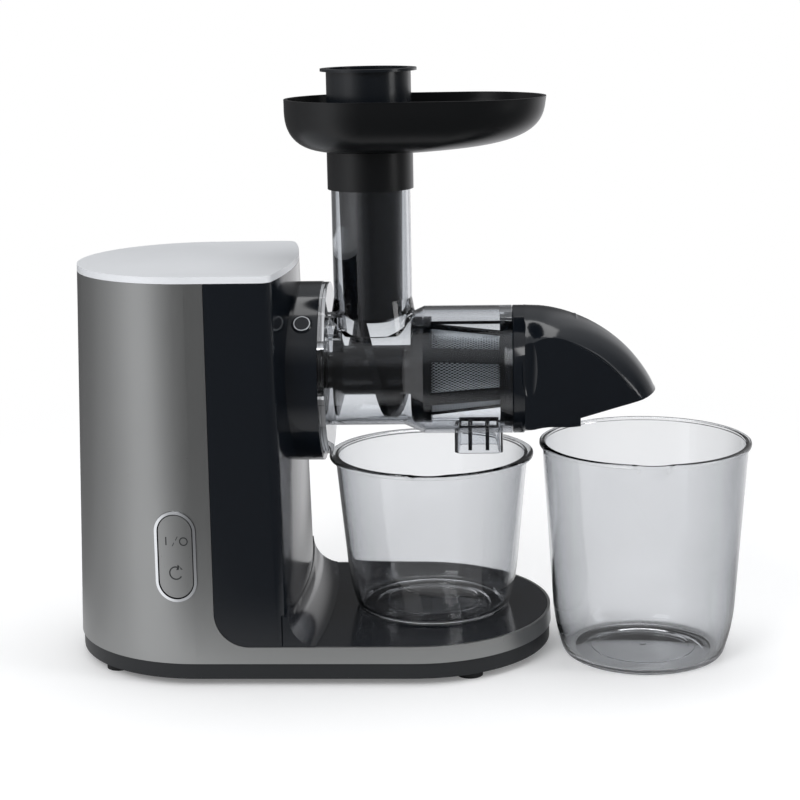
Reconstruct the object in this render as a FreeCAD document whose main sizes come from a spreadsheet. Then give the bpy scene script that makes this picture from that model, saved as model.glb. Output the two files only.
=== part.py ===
import FreeCAD, Part
import math
import os
import re
import Sketcher

# A cold press juicer: a motor tower on a long base, a clear juicing head that twists into its collar, a
# hopper tray with a pusher, and two clear cups. Lengths are in millimetres. X runs from the tower to the
# beak, Y runs away from the front, Z is up. Everything is drawn from the tower's left foot at X = 0; each
# finished piece then moves left by half of the whole length, so that the origin is under the middle.

SIZES = {
    # base and tower
    "base_length": 285.6, "half_depth": 81.0, "foot_tall": 4.4, "foot_radius": 7.5, "foot_left_x": 30.0,
    "foot_left_y": 48.0, "foot_right_x": 237.0, "foot_right_y": 61.0, "foot_boss_round": 5.5,
    "pan_top": 13.7, "pan_inset": 0.9, "pan_wall": 2.4, "pan_floor": 2.4,
    "deck_top": 23.5, "deck_plate": 2.6, "draft": 0.038, "tower_top": 235.7, "cover_thick": 3.9,
    "cover_skirt": 4.0, "wrap_wall": 1.6, "housing_wall": 2.6, "metal_edge_x": 91.8, "metal_corner": 20.0,
    "corner_x": 133.2, "corner_round": 5.0, "bow_x": 140.0, "corner_lean": 0.022, "bow_lean": 0.014,
    "sweep": 18.0, "part_gap": 0.25, "run_gap": 0.05,
    # drive collar and release button
    "axis_z": 167.9, "collar_radius": 53.0, "collar_end": 151.7, "hub_radius": 36.0, "hub_face": 144.0,
    "spigot_radius": 42.0, "spigot_start": 125.0, "shaft_hole": 13.0, "button_radius": 5.8,
    "button_x": 143.0, "button_deep": 9.0, "button_proud": 0.7, "button_travel": 2.5, "button_angle": 41.5,
    # drive train
    "shaft_radius": 8.0, "hex_across": 13.0, "gear_bay": 93.0, "case_plate": 3.0, "case_wall": 2.5,
    "first_module": 1.0, "second_module": 1.5, "pinion_teeth": 14, "wheel_teeth": 63, "output_teeth": 56,
    "gear_wide": 9.0, "gear_gap": 2.5, "backlash": 0.16, "motor_shaft": 4.0, "gear_axle": 4.0,
    "motor_radius": 36.0, "motor_left": 27.0, "can_wall": 2.0, "stator_bore": 20.8, "rotor_radius": 20.2,
    "rotor_left": 41.0, "rotor_long": 40.0, "shaft_tail": 14.0, "fan_radius": 27.0, "fan_back": 8.0,
    "fan_blade_count": 7, "fan_blade_long": 7.0, "fan_blade_thick": 1.4, "fan_blade_turn": 28.0,
    "fan_hub_round": 8.0, "vent_count": 8, "vent_round": 3.2, "vent_reach": 22.0,
    "cradle_wide": 12.0, "cradle_long": 50.0, "cradle_deep": 56.0, "cradle_in": 8.0, "bush_wall": 3.0,
    "bush_long": 7.0, "board_long": 56.0, "board_deep": 60.0, "board_thick": 1.6, "board_gap": 10.0,
    "post_round": 3.0, "post_spread": 16.0, "lighten_round": 8.0, "lighten_reach": 26.0, "lighten_count": 6,
    # switch
    "switch_x": 71.2, "switch_z": 77.0, "switch_wide": 24.2, "switch_tall": 52.8, "ring_wide": 1.7,
    "ring_proud": 1.2, "rocker_gap": 0.7, "rocker_deep": 5.0, "rocker_swing": 2.2, "switch_body_deep": 11.0,
    "pivot_radius": 2.0, "pivot_long": 8.0, "pivot_behind": 1.0,
    # juicing drum
    "flange_thick": 3.7, "flange_radius": 49.4, "ear_radius": 52.6, "barrel_radius": 32.5,
    "barrel_end": 199.5, "cone_end": 211.4, "drum_radius": 37.8, "drum_end": 262.8, "drum_wall": 2.4,
    "rim_bore": 34.0, "rim_start": 255.4, "tail_hole": 12.0, "chute_x": 181.4, "chute_radius": 23.0,
    "chute_wall": 2.4, "chute_top": 298.0, "flare_radius": 26.5, "flare_low": 192.0, "flare_high": 212.0,
    "spout_x": 242.9, "spout_long": 28.6, "spout_deep": 25.0, "spout_low": 119.5, "spout_wall": 2.0,
    "spout_corner": 5.0, "lug_low": 24.5, "lug_high": 39.5, "lug_long": 9.5, "lug_wall": 1.8,
    # auger and strainer
    "auger_start": 159.6, "auger_radius": 28.4, "auger_core": 14.6, "auger_pitch": 39.0, "flight_turn": 44.0,
    "auger_phase": 316.5, "auger_slim": 24.0, "auger_tip": 19.2, "auger_end": 257.0, "tip_radius": 5.0,
    "tip_long": 14.0, "tail_radius": 10.8, "strainer_ring_x": 204.3, "strainer_ring_long": 11.2,
    "strainer_ring_radius": 31.4, "strainer_cone_big": 27.2, "strainer_cone_small": 22.8,
    "strainer_wall": 2.0, "strainer_end_radius": 32.4, "strainer_end_long": 7.0, "rib_count": 6,
    "rib_wide": 8.0, "mesh_thick": 0.5, "rail_radius": 28.6, "rail_wide": 2.0,
    # end cap
    "cap_ring_end": 269.8, "cap_spigot": 4.5, "cap_spigot_wall": 0.9, "cap_wall": 2.2, "bowl_end": 301.8,
    "bowl_radius": 32.6, "beak_tip": 347.2, "beak_arc": 85.2, "side_lean": 0.183, "mouth_radius": 22.0,
    "hub_outer": 9.0, "web_x": 264.5, "web_thick": 3.0, "web_window": 7.0, "web_window_reach": 18.5,
    # hopper tray and pusher
    "tray_left": 132.3, "tray_right": 283.3, "tray_rim": 327.6, "tray_half": 47.6, "tray_wall": 2.2,
    "throat_radius": 20.4, "neck_radius": 25.0, "neck_low": 275.8, "neck_gap": 0.3, "pusher_low": 197.6,
    "pusher_shaft_top": 18.45, "pusher_shaft_low": 17.1, "pusher_head": 24.4, "pusher_top": 344.6,
    "pusher_flange": 27.8, "pusher_wall": 2.0, "flange_lip": 1.5,
    # cups
    "cup_wall": 1.8, "cup_floor": 2.2, "lip_tall": 2.2, "lip_edge": 0.5, "foot_dish": 0.6,
    "juice_x": 214.4, "juice_y": 0.0, "juice_rim": 60.9, "juice_top": 118.0, "juice_wall_r": 57.3,
    "juice_mid_r": 51.5, "juice_mid_up": 29.0, "juice_foot_r": 43.5,
    "pulp_x": 340.0, "pulp_y": -17.6, "pulp_rim": 61.7, "pulp_top": 128.5, "pulp_wall_r": 60.0,
    "pulp_mid_r": 53.5, "pulp_mid_up": 28.9, "pulp_foot_r": 44.7,
    "dimple_radius": 21.0, "dimple_up": 2.5, "dimple_out": 2.9,
    "floor_ring_out": 31.0, "floor_ring_in": 27.0, "floor_ring_tall": 0.5,
    # small parts
    "gland_radius": 7.0, "gland_z": 40.0, "gland_x": 60.0, "gland_flange": 10.0, "cord_hole": 3.4,
    "screw_head": 3.5, "screw_shank": 1.6, "screw_long": 9.0,
}

doc = FreeCAD.newDocument("juicer")
sheet = doc.addObject("Spreadsheet::Sheet", "sizes")
for row, (alias, value) in enumerate(SIZES.items(), start=1):
    sheet.set("A%d" % row, alias)
    sheet.set("B%d" % row, str(value))
    sheet.setAlias("B%d" % row, alias)
doc.recompute()


class Read:
    """Reads a size back from the sheet by its alias."""

    def __getattr__(self, alias):
        return float(sheet.get(alias))


s = Read()
V = FreeCAD.Vector
ALONG_X = FreeCAD.Rotation(V(0, 1, 0), 90)
ALONG_Y = FreeCAD.Rotation(V(1, 0, 0), -90)
UPRIGHT = FreeCAD.Rotation()
HALF_TOTAL = "(pulp_x + pulp_rim) / 2"


def formula(text):
    """Writes sheet aliases in a formula as references to the sheet."""
    return re.sub(r"[a-z_]+", lambda word: "sizes." + word.group() if word.group() in SIZES else word.group(),
                  str(text))


def bind(obj, **formulas):
    for prop, text in formulas.items():
        obj.setExpression(prop.replace("__", "."), formula(text))
    return obj


def place(obj, at, rotation=UPRIGHT):
    obj.Placement = FreeCAD.Placement(V(), rotation)
    return bind(obj, Placement__Base__x=at[0], Placement__Base__y=at[1], Placement__Base__z=at[2])


def cylinder(name, radius, length, at, rotation=UPRIGHT):
    obj = doc.addObject("Part::Cylinder", name)
    bind(obj, Radius=radius, Height=length)
    return place(obj, at, rotation)


def cone(name, radius_1, radius_2, length, at, rotation=UPRIGHT):
    obj = doc.addObject("Part::Cone", name)
    bind(obj, Radius1=radius_1, Radius2=radius_2, Height=length)
    return place(obj, at, rotation)


def block(name, long, deep, tall, at):
    """A box centred on its Y place."""
    obj = doc.addObject("Part::Box", name)
    bind(obj, Length=long, Width=deep, Height=tall)
    return place(obj, (at[0], "%s - (%s) / 2" % (at[1], deep), at[2]))


def ball(name, radius, at):
    obj = doc.addObject("Part::Sphere", name)
    bind(obj, Radius=radius)
    return place(obj, at)


def cut(name, base, *tools):
    obj = doc.addObject("Part::Cut", name)
    obj.Base = base
    obj.Tool = tools[0] if len(tools) == 1 else fuse(name + "_tools", *tools)
    return obj


def fuse(name, *shapes):
    obj = doc.addObject("Part::MultiFuse", name)
    obj.Shapes = list(shapes)
    return obj


def common(name, *shapes):
    obj = doc.addObject("Part::MultiCommon", name)
    obj.Shapes = list(shapes)
    return obj


def drawn(name, shape):
    """A shape that the primitives don't offer, drawn from the sheet's sizes."""
    obj = doc.addObject("Part::Feature", name)
    obj.Shape = shape
    return obj


def origin_plane(body, role):
    return next(plane for plane in body.Origin.OriginFeatures if plane.Role == role)


def outline_sketch(body, name, points, role):
    """A closed outline of straight lines whose corners are held by sheet formulas."""
    sketch = body.newObject("Sketcher::SketchObject", name)
    sketch.AttachmentSupport = (origin_plane(body, role), [""])
    sketch.MapMode = "FlatFace"
    count = len(points)
    for index in range(count):
        # rough places, which the constraints then set
        angle = 2 * math.pi * index / count
        after = 2 * math.pi * (index + 1) / count
        sketch.addGeometry(Part.LineSegment(V(50 + math.cos(angle), math.sin(angle), 0),
                                            V(50 + math.cos(after), math.sin(after), 0)), False)
    for index in range(count):
        sketch.addConstraint(Sketcher.Constraint("Coincident", index, 2, (index + 1) % count, 1))
    for index, (across, up) in enumerate(points):
        for kind, text in (("DistanceX", across), ("DistanceY", up)):
            number = sketch.addConstraint(Sketcher.Constraint(kind, -1, 1, index, 1, 1.0))
            sketch.setExpression("Constraints[%d]" % number, formula(text))
    return sketch


def turned(name, points, at, rotation=UPRIGHT):
    """A body turned about its own Z axis; points are (radius, height) formulas."""
    body = doc.addObject("PartDesign::Body", name + "_body")
    sketch = outline_sketch(body, name + "_outline", points, "XZ_Plane")
    turn = body.newObject("PartDesign::Revolution", name + "_turn")
    turn.Profile = sketch
    turn.ReferenceAxis = (sketch, ["V_Axis"])
    turn.Angle = 360.0
    body.Tip = turn
    return place(body, at, rotation)


def padded(name, points, tall, at, rotation=UPRIGHT):
    """A body raised from an outline of (x, y) formulas."""
    body = doc.addObject("PartDesign::Body", name + "_body")
    sketch = outline_sketch(body, name + "_outline", points, "XY_Plane")
    pad = body.newObject("PartDesign::Pad", name + "_pad")
    pad.Profile = sketch
    bind(pad, Length=tall)
    body.Tip = pad
    return place(body, at, rotation)


NODES = []


def node(name, *pieces):
    """A finished sub-part: its pieces, moved left so that the origin is under the object's middle."""
    obj = doc.addObject("Part::Compound", name + "_node")
    obj.Links = list(pieces)
    obj.Label = name
    bind(obj, Placement__Base__x="-" + HALF_TOTAL)
    NODES.append(obj)
    return obj


# Outlines of the tower and the base. Their walls lean in by the draft.

def lean(height):
    return s.draft * (height - s.pan_top)


def tower_wire(height, inset):
    """Half round at the left, straight along the sides, gently bowed towards the head."""
    depth = s.half_depth - lean(height) - inset
    centre = s.half_depth
    corner = s.corner_x - s.corner_lean * (height - s.pan_top) - inset
    bow = s.bow_x - s.bow_lean * (height - s.pan_top) - inset
    rise = bow - corner
    bow_radius = (depth * depth + rise * rise) / (2 * rise)
    r = max(s.corner_round - inset, 1.0)
    bow_end = bow - bow_radius + math.sqrt(bow_radius ** 2 - (depth - r) ** 2)
    nook = r * (1 - math.sqrt(0.5))

    def corner_points(side):
        return (V(corner - r, side * depth, height), V(corner - nook, side * (depth - nook), height),
                V(bow_end, side * (depth - r), height))

    front, back = corner_points(-1), corner_points(1)
    edges = [
        Part.Arc(V(centre, depth, height), V(centre - depth, 0, height), V(centre, -depth, height)).toShape(),
        Part.makeLine(V(centre, -depth, height), front[0]),
        Part.Arc(*front).toShape(),
        Part.Arc(front[2], V(bow, 0, height), back[2]).toShape(),
        Part.Arc(*reversed(back)).toShape(),
        Part.makeLine(back[0], V(centre, depth, height)),
    ]
    return Part.Wire(edges)


def base_wire(height, inset):
    """A long oval: half circles at both ends."""
    depth = s.half_depth - lean(height) - inset
    left = s.half_depth
    right = s.base_length - s.half_depth
    edges = [
        Part.Arc(V(left, depth, height), V(left - depth, 0, height), V(left, -depth, height)).toShape(),
        Part.makeLine(V(left, -depth, height), V(right, -depth, height)),
        Part.Arc(V(right, -depth, height), V(right + depth, 0, height), V(right, depth, height)).toShape(),
        Part.makeLine(V(right, depth, height), V(left, depth, height)),
    ]
    return Part.Wire(edges)


def tapered(wire_at, low, high, inset):
    return Part.makeLoft([wire_at(low, inset), wire_at(high, inset)], True, True)


def side_prism(points, half_wide):
    """A solid raised along Y from a closed outline of lines and arcs in the X-Z plane."""
    edges = []
    for start, middle, end in points:
        a, b = V(start[0], -half_wide, start[1]), V(end[0], -half_wide, end[1])
        if middle is None:
            edges.append(Part.makeLine(a, b))
        else:
            edges.append(Part.Arc(a, V(middle[0], -half_wide, middle[1]), b).toShape())
    return Part.Face(Part.Wire(edges)).extrude(V(0, 2 * half_wide, 0))


def metal_zone(grow):
    """The side view of what the wrap panel covers: the tower's left part and a strip along the base."""
    edge = s.metal_edge_x + grow
    top = s.deck_top + grow
    r = s.metal_corner
    high = s.tower_top
    right = s.base_length + 5
    diagonal = r * (1 - math.sqrt(0.5))
    return side_prism([
        ((-5, s.pan_top - 1), None, (right, s.pan_top - 1)),
        ((right, s.pan_top - 1), None, (right, top)),
        ((right, top), None, (edge + r, top)),
        ((edge + r, top), (edge + diagonal, top + diagonal), (edge, top + r)),
        ((edge, top + r), None, (edge, high)),
        ((edge, high), None, (-5, high)),
        ((-5, high), None, (-5, s.pan_top - 1)),
    ], s.half_depth + 5)


cover_low = s.tower_top - s.cover_thick
tower_outer = tapered(tower_wire, s.pan_top, cover_low, 0)
tower_inner = tapered(tower_wire, s.pan_top, cover_low, s.wrap_wall)
base_outer = tapered(base_wire, s.pan_top, s.deck_top, 0)
base_inner = tapered(base_wire, s.pan_top, s.deck_top, s.wrap_wall)
hull_outer = tower_outer.fuse(base_outer)
hull_inner = tower_inner.fuse(base_inner)


# Wrap panel: one thin sheet round the tower's left part, which goes on as a strip round the deck.

def pill(inset, deep, out):
    """An upright pill-shaped bar through the front wall at the switch."""
    half = s.switch_wide / 2 - inset
    rise = s.switch_tall / 2 - s.switch_wide / 2
    x, z, y = s.switch_x, s.switch_z, -s.half_depth - out
    edges = [
        Part.Arc(V(x - half, y, z + rise), V(x, y, z + rise + half), V(x + half, y, z + rise)).toShape(),
        Part.makeLine(V(x + half, y, z + rise), V(x + half, y, z - rise)),
        Part.Arc(V(x + half, y, z - rise), V(x, y, z - rise - half), V(x - half, y, z - rise)).toShape(),
        Part.makeLine(V(x - half, y, z - rise), V(x - half, y, z + rise)),
    ]
    return Part.Face(Part.Wire(edges)).extrude(V(0, deep, 0))


def gland_bore(radius):
    return Part.makeCylinder(radius, 20, V(s.gland_x, s.half_depth - 12, s.gland_z), V(0, 1, 0))


wrap = hull_outer.cut(hull_inner).common(metal_zone(0))
wrap = wrap.cut(pill(0, 30, 5)).cut(gland_bore(s.gland_radius))
node("wrap_panel", drawn("wrap_sheet", wrap))


# Front housing: the black moulding of the tower's right part, the deck, and a liner behind the wrap panel.

def sweep_solid():
    """The hollow curve where the tower's bowed face runs down into the deck."""
    low, bow = s.deck_top - 1, s.bow_x - s.bow_lean * (s.deck_top - s.pan_top) - 1.2
    chord = s.corner_x - s.corner_lean * (s.deck_top - s.pan_top)
    half = s.half_depth
    rise = bow - chord
    radius = (half * half + rise * rise) / (2 * rise)
    centre = bow - radius
    r = s.sweep
    diagonal = r * (1 - math.sqrt(0.5))
    foot, top = bow + 1.2 + r, s.deck_top + r
    edges = [
        Part.makeLine(V(bow - 2, 0, low), V(foot, 0, low)),
        Part.makeLine(V(foot, 0, low), V(foot, 0, s.deck_top)),
        Part.Arc(V(foot, 0, s.deck_top), V(foot - r + diagonal, 0, s.deck_top + diagonal),
                 V(foot - r, 0, top)).toShape(),
        Part.makeLine(V(foot - r, 0, top), V(bow - 2, 0, top)),
        Part.makeLine(V(bow - 2, 0, top), V(bow - 2, 0, low)),
    ]
    face = Part.Face(Part.Wire(edges))
    sector = math.degrees(math.asin(half / radius)) + 4
    axis_foot = V(centre, 0, 0)
    face.rotate(axis_foot, V(0, 0, 1), -sector)
    return face.revolve(axis_foot, V(0, 0, 1), 2 * sector)


def collar_bar(radius, start, end):
    return Part.makeCylinder(radius, end - start, V(start, 0, s.axis_z), V(1, 0, 0))


skin = s.wrap_wall + s.part_gap
wall = s.housing_wall
outer_round = tapered(base_wire, s.pan_top, s.deck_top + s.sweep + 2, 0)
housing_outer = tower_outer.fuse(base_outer).fuse(sweep_solid().common(outer_round))
liner_outer = tapered(tower_wire, s.pan_top, cover_low,
                      skin).fuse(tapered(base_wire, s.pan_top, s.deck_top, skin))
housing_form = housing_outer.cut(metal_zone(s.part_gap)).fuse(liner_outer)
hollow_tower = tapered(tower_wire, s.pan_top, cover_low, skin + wall)
hollow_base = tapered(base_wire, s.pan_top, s.deck_top - s.deck_plate, skin + wall)
housing = housing_form.cut(hollow_tower).cut(hollow_base)
housing = housing.cut(collar_bar(s.spigot_radius, s.spigot_start, s.collar_end))
housing = housing.cut(pill(s.ring_wide + s.part_gap, 30, 5)).cut(gland_bore(s.gland_radius))
node("front_housing", drawn("housing_shell", housing.removeSplitter()))


# Top cover: a thick lid with a skirt inside the tower's mouth.

cover = tapered(tower_wire, cover_low + 0.1, s.tower_top, 0)
skirt = tapered(tower_wire, cover_low - s.cover_skirt, cover_low + 0.1, skin + wall + s.part_gap)
skirt = skirt.cut(tapered(tower_wire, cover_low - s.cover_skirt, cover_low + 0.1, skin + 2 * wall))
node("top_cover", drawn("cover_lid", cover.fuse(skirt).removeSplitter()))


# Base pan: an open tray under the whole base, with a boss for each foot and a fence for the motor cradle.

def stadium(name, inset, low, high):
    """A long oval plate on the base's own centre lines."""
    tall = "%s - (%s)" % (high, low)
    radius = "half_depth - (%s)" % inset
    left = cylinder(name + "_left", radius, tall, ("half_depth", 0, low))
    right = cylinder(name + "_right", radius, tall, ("base_length - half_depth", 0, low))
    middle = block(name + "_middle", "base_length - 2 * half_depth", "2 * (%s)" % radius, tall,
                   ("half_depth", 0, low))
    return fuse(name, left, right, middle)


FOOT_PLACES = [("foot_left_x", "-foot_left_y"), ("foot_left_x", "foot_left_y"),
               ("foot_right_x", "-foot_right_y"), ("foot_right_x", "foot_right_y")]

pan_shell = cut("pan_shell", stadium("pan_outer", "pan_inset", "foot_tall", "pan_top"),
                stadium("pan_inner", "pan_inset + pan_wall", "foot_tall + pan_floor", "pan_top + 1"))
pan_bosses = [cylinder("pan_boss_%d" % i, "foot_boss_round", "pan_top - foot_tall - 3", (x, y, "foot_tall"))
              for i, (x, y) in enumerate(FOOT_PLACES)]
pan_holes = [cylinder("pan_hole_%d" % i, "screw_shank", "pan_top", (x, y, "foot_tall - 1"))
             for i, (x, y) in enumerate(FOOT_PLACES)]
node("base_pan", cut("pan", fuse("pan_solid", pan_shell, *pan_bosses), *pan_holes))

feet = [cut("foot_%d" % i, cylinder("foot_puck_%d" % i, "foot_radius", "foot_tall", (x, y, 0)),
            cylinder("foot_well_%d" % i, "screw_head + 0.5", "foot_tall - 1.5", (x, y, -0.1)),
            cylinder("foot_pass_%d" % i, "screw_shank + 0.2", "foot_tall + 1", (x, y, -0.1)))
        for i, (x, y) in enumerate(FOOT_PLACES)]
node("feet", *feet)

screws = [fuse("screw_%d" % i,
               cylinder("screw_head_%d" % i, "screw_head", "1.2", (x, y, "foot_tall - 1.6 - 1.2")),
               cylinder("screw_stem_%d" % i, "screw_shank - 0.05", "screw_long", (x, y, "foot_tall - 1.6")))
          for i, (x, y) in enumerate(FOOT_PLACES)]
node("foot_screws", *screws)


# Drive collar: the black ring that takes the head. Its back follows the tower's bowed face.

collar_ring = collar_bar(s.collar_radius, s.spigot_start, s.collar_end).cut(tower_outer)
collar_tube = drawn("collar_ring", collar_ring)
collar_spigot = cylinder("collar_spigot", "spigot_radius - 0.05", "hub_face - spigot_start",
                         ("spigot_start", 0, "axis_z"), ALONG_X)
collar_recess = cylinder("collar_recess", "hub_radius", "collar_end - hub_face + 1",
                         ("hub_face", 0, "axis_z"), ALONG_X)
collar_back = cylinder("collar_back", "spigot_radius - 5", "hub_face - spigot_start - 4",
                       ("spigot_start - 1", 0, "axis_z"), ALONG_X)
collar_pass = cylinder("collar_pass", "shaft_hole", "40", ("spigot_start", 0, "axis_z"), ALONG_X)
BUTTON_OUT = V(0, -math.cos(math.radians(s.button_angle)), math.sin(math.radians(s.button_angle)))
BUTTON_TURN = FreeCAD.Rotation(V(0, 0, 1), BUTTON_OUT)


def button_bar(name, radius, from_axis, length):
    """A bar that points out of the collar along the button's own direction."""
    obj = doc.addObject("Part::Cylinder", name)
    bind(obj, Radius=radius, Height=length)
    away = "(%s)" % from_axis
    return place(obj, ("button_x", "-%s * cos(button_angle * 1deg)" % away,
                       "axis_z + %s * sin(button_angle * 1deg)" % away), BUTTON_TURN)


button_low = "collar_radius + button_proud - button_deep"
button_hole = button_bar("button_hole", "button_radius + part_gap", button_low + " - button_travel - 0.6",
                         "20")
node("drive_collar",
     cut("collar", fuse("collar_solid", collar_tube, collar_spigot), collar_recess, collar_back,
                         collar_pass, button_hole))
button_stem = button_bar("button_stem", "button_radius", button_low, "button_deep - 0.6")
button_cap = doc.addObject("Part::Cone", "button_cap")
bind(button_cap, Radius1="button_radius", Radius2="button_radius - 0.6", Height="0.6")
place(button_cap, ("button_x", "-(collar_radius + button_proud - 0.6) * cos(button_angle * 1deg)",
                   "axis_z + (collar_radius + button_proud - 0.6) * sin(button_angle * 1deg)"), BUTTON_TURN)
node("release_button", fuse("button", button_stem, button_cap))


# Switch: a chrome ring that follows the wall, a dark body behind, and one rocker that fills the ring.

def wall_band(inside, outside):
    return tapered(tower_wire, s.pan_top, cover_low, -outside).cut(
        tapered(tower_wire, s.pan_top, cover_low, inside))


ring_band = wall_band(s.wrap_wall, s.ring_proud)
ring = pill(s.part_gap / 2, 30, 5).cut(pill(s.ring_wide, 30, 5)).common(ring_band)
node("switch_bezel", drawn("bezel", ring))

def pivot_bar(clearance):
    """The round bar behind the rocker that it tips on, or with a clearance the groove that it lies in."""
    length = s.pivot_long + 2 * clearance
    wall_y = (s.switch_z - s.pan_top) * s.draft - s.half_depth
    start = V(s.switch_x - length / 2, wall_y + s.rocker_deep + s.pivot_behind, s.switch_z)
    return Part.makeCylinder(s.pivot_radius + clearance, length, start, V(1, 0, 0))


rocker_band = wall_band(s.rocker_deep, 0.5)
rocker = pill(s.ring_wide + s.rocker_gap, 30, 5).common(rocker_band).fuse(pivot_bar(0))
node("switch_rocker", drawn("rocker", rocker))

rocker_room = s.rocker_deep + s.rocker_swing
block_band = wall_band(rocker_room + s.switch_body_deep, -rocker_room)
switch_block = pill(s.ring_wide + 3, 40, 5).common(block_band)
flange_band = wall_band(rocker_room + 1, -(skin + wall + 0.05))
switch_flange = pill(-2.0, 40, 5).cut(pill(s.ring_wide + s.part_gap, 40, 5)).common(flange_band)
switch_floor = pill(-2.0, 40, 5).common(wall_band(rocker_room + 1.5, -rocker_room))
switch_shell = switch_block.fuse(switch_floor).fuse(switch_flange).cut(pivot_bar(s.part_gap))
node("switch_body", drawn("switch_block", switch_shell))


# Gears. The flanks are involutes drawn with a few points inside the true flank, thinned by the backlash.

PRESSURE = math.radians(25.0)
FLANK_STEPS = 4


def involute(angle):
    return math.tan(angle) - angle


def gear_face(teeth, module, thinning, x, phase):
    """A spur gear's outline in the plane across X, centred on the X axis."""
    pitch = teeth * module / 2
    base = pitch * math.cos(PRESSURE)
    tip = pitch + 0.92 * module
    root = pitch - 1.2 * module
    half_pitch = math.pi / (2 * teeth) - thinning / (2 * pitch)
    start = max(base, root)
    flank = []
    for step in range(FLANK_STEPS + 1):
        radius = start + (tip - start) * step / FLANK_STEPS
        pressure = math.acos(min(1.0, base / radius))
        flank.append((radius, half_pitch + involute(PRESSURE) - involute(pressure)))
    points = []
    for tooth in range(teeth):
        middle = phase + 2 * math.pi * tooth / teeth
        left = [(root, flank[0][1])] + flank if root < base else flank
        for radius, half in left:
            points.append((radius, middle - half))
        for radius, half in reversed(left):
            points.append((radius, middle + half))
    corners = [V(x, radius * math.cos(angle), radius * math.sin(angle)) for radius, angle in points]
    return Part.Face(Part.makePolygon(corners + corners[:1]))


def gear(teeth, module, x, wide, centre_z, phase):
    solid = gear_face(teeth, module, s.backlash, x, phase).extrude(V(wide, 0, 0))
    solid.translate(V(0, 0, centre_z))
    return solid


pinion_teeth, wheel_teeth, output_teeth = int(s.pinion_teeth), int(s.wheel_teeth), int(s.output_teeth)
first_reach = s.first_module * (pinion_teeth + wheel_teeth) / 2
second_reach = s.second_module * (pinion_teeth + output_teeth) / 2
middle_z = s.axis_z - second_reach
motor_z = middle_z - first_reach
first_x = s.gear_bay + s.case_plate
second_x = first_x + s.gear_wide + s.gear_gap

FIRST_REACH = "first_module * (pinion_teeth + wheel_teeth) / 2"
SECOND_REACH = "second_module * (pinion_teeth + output_teeth) / 2"
MIDDLE_Z = "(axis_z - %s)" % SECOND_REACH
MOTOR_Z = "(axis_z - %s - %s)" % (SECOND_REACH, FIRST_REACH)
FIRST_X = "(gear_bay + case_plate)"
SECOND_X = "(gear_bay + case_plate + gear_wide + gear_gap)"
BAY_END = "(gear_bay + case_plate + 2 * gear_wide + 3 * gear_gap)"

UP = math.pi / 2
# A tooth of the lower gear points up at the mesh; a gap of the upper gear points down.
motor_pinion_phase = UP
wheel_phase = -UP + math.pi / wheel_teeth
small_phase = UP
output_phase = -UP + math.pi / output_teeth

motor_pinion = drawn("motor_pinion_teeth", gear(pinion_teeth, s.first_module, first_x, s.gear_wide, motor_z,
                                                motor_pinion_phase))
wheel_solid = gear(wheel_teeth, s.first_module, first_x, s.gear_wide, middle_z, wheel_phase)
small_solid = gear(pinion_teeth, s.second_module, first_x + s.gear_wide, s.gear_wide + s.gear_gap, middle_z,
                   small_phase)
intermediate = cut("intermediate", drawn("intermediate_teeth", wheel_solid.fuse(small_solid)),
                   cylinder("intermediate_bore", "gear_axle + run_gap", "60", ("gear_bay", 0, MIDDLE_Z),
                            ALONG_X))
node("intermediate_gear", intermediate)
node("gear_axle_pin", cylinder("axle_pin", "gear_axle", BAY_END + " - gear_bay - 0.1 + case_plate",
                               ("gear_bay", 0, MIDDLE_Z), ALONG_X))

output_teeth_solid = drawn("output_teeth_ring", gear(output_teeth, s.second_module, second_x, s.gear_wide,
                                                     s.axis_z, output_phase))
output_lighten = [cylinder("output_hole_%d" % i, "lighten_round", "30",
                           ("gear_bay", "lighten_reach * cos(%d * 360deg / lighten_count)" % i,
                            "axis_z + lighten_reach * sin(%d * 360deg / lighten_count)" % i), ALONG_X)
                  for i in range(int(s.lighten_count))]
output_bore = cylinder("output_bore", "shaft_radius", "60", ("gear_bay", 0, "axis_z"), ALONG_X)
node("output_gear", cut("output_wheel", output_teeth_solid, output_bore, *output_lighten))

hex_points = [("hex_across / 2 / cos(30deg) * cos(%d * 1deg)" % (60 * i),
               "hex_across / 2 / cos(30deg) * sin(%d * 1deg)" % (60 * i)) for i in range(6)]
shaft_round = cylinder("shaft_round", "shaft_radius", "hub_face + 1.5 - gear_bay - 0.5",
                       ("gear_bay + 0.5", 0, "axis_z"), ALONG_X)
shaft_hex = padded("shaft_hex", hex_points, "auger_start + 6 - hub_face", ("hub_face", 0, "axis_z"), ALONG_X)
node("output_shaft", fuse("shaft", shaft_round, shaft_hex))


# Gearbox: a cup-shaped case behind the motor's plate and a flat cover, both with bush seats for the shaft.

def gearbox_form(name, inset, start, length):
    """A tall rounded box that wraps both gear stages."""
    big = cylinder(name + "_big", "second_module * output_teeth / 2 + 6 - (%s)" % inset, length,
                   (start, 0, "axis_z"), ALONG_X)
    low = cylinder(name + "_low", "first_module * wheel_teeth / 2 + 6 - (%s)" % inset, length,
                   (start, 0, MIDDLE_Z), ALONG_X)
    foot = cylinder(name + "_foot", "20 - (%s)" % inset, length, (start, 0, MOTOR_Z), ALONG_X)
    return fuse(name, big, low, foot)


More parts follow.
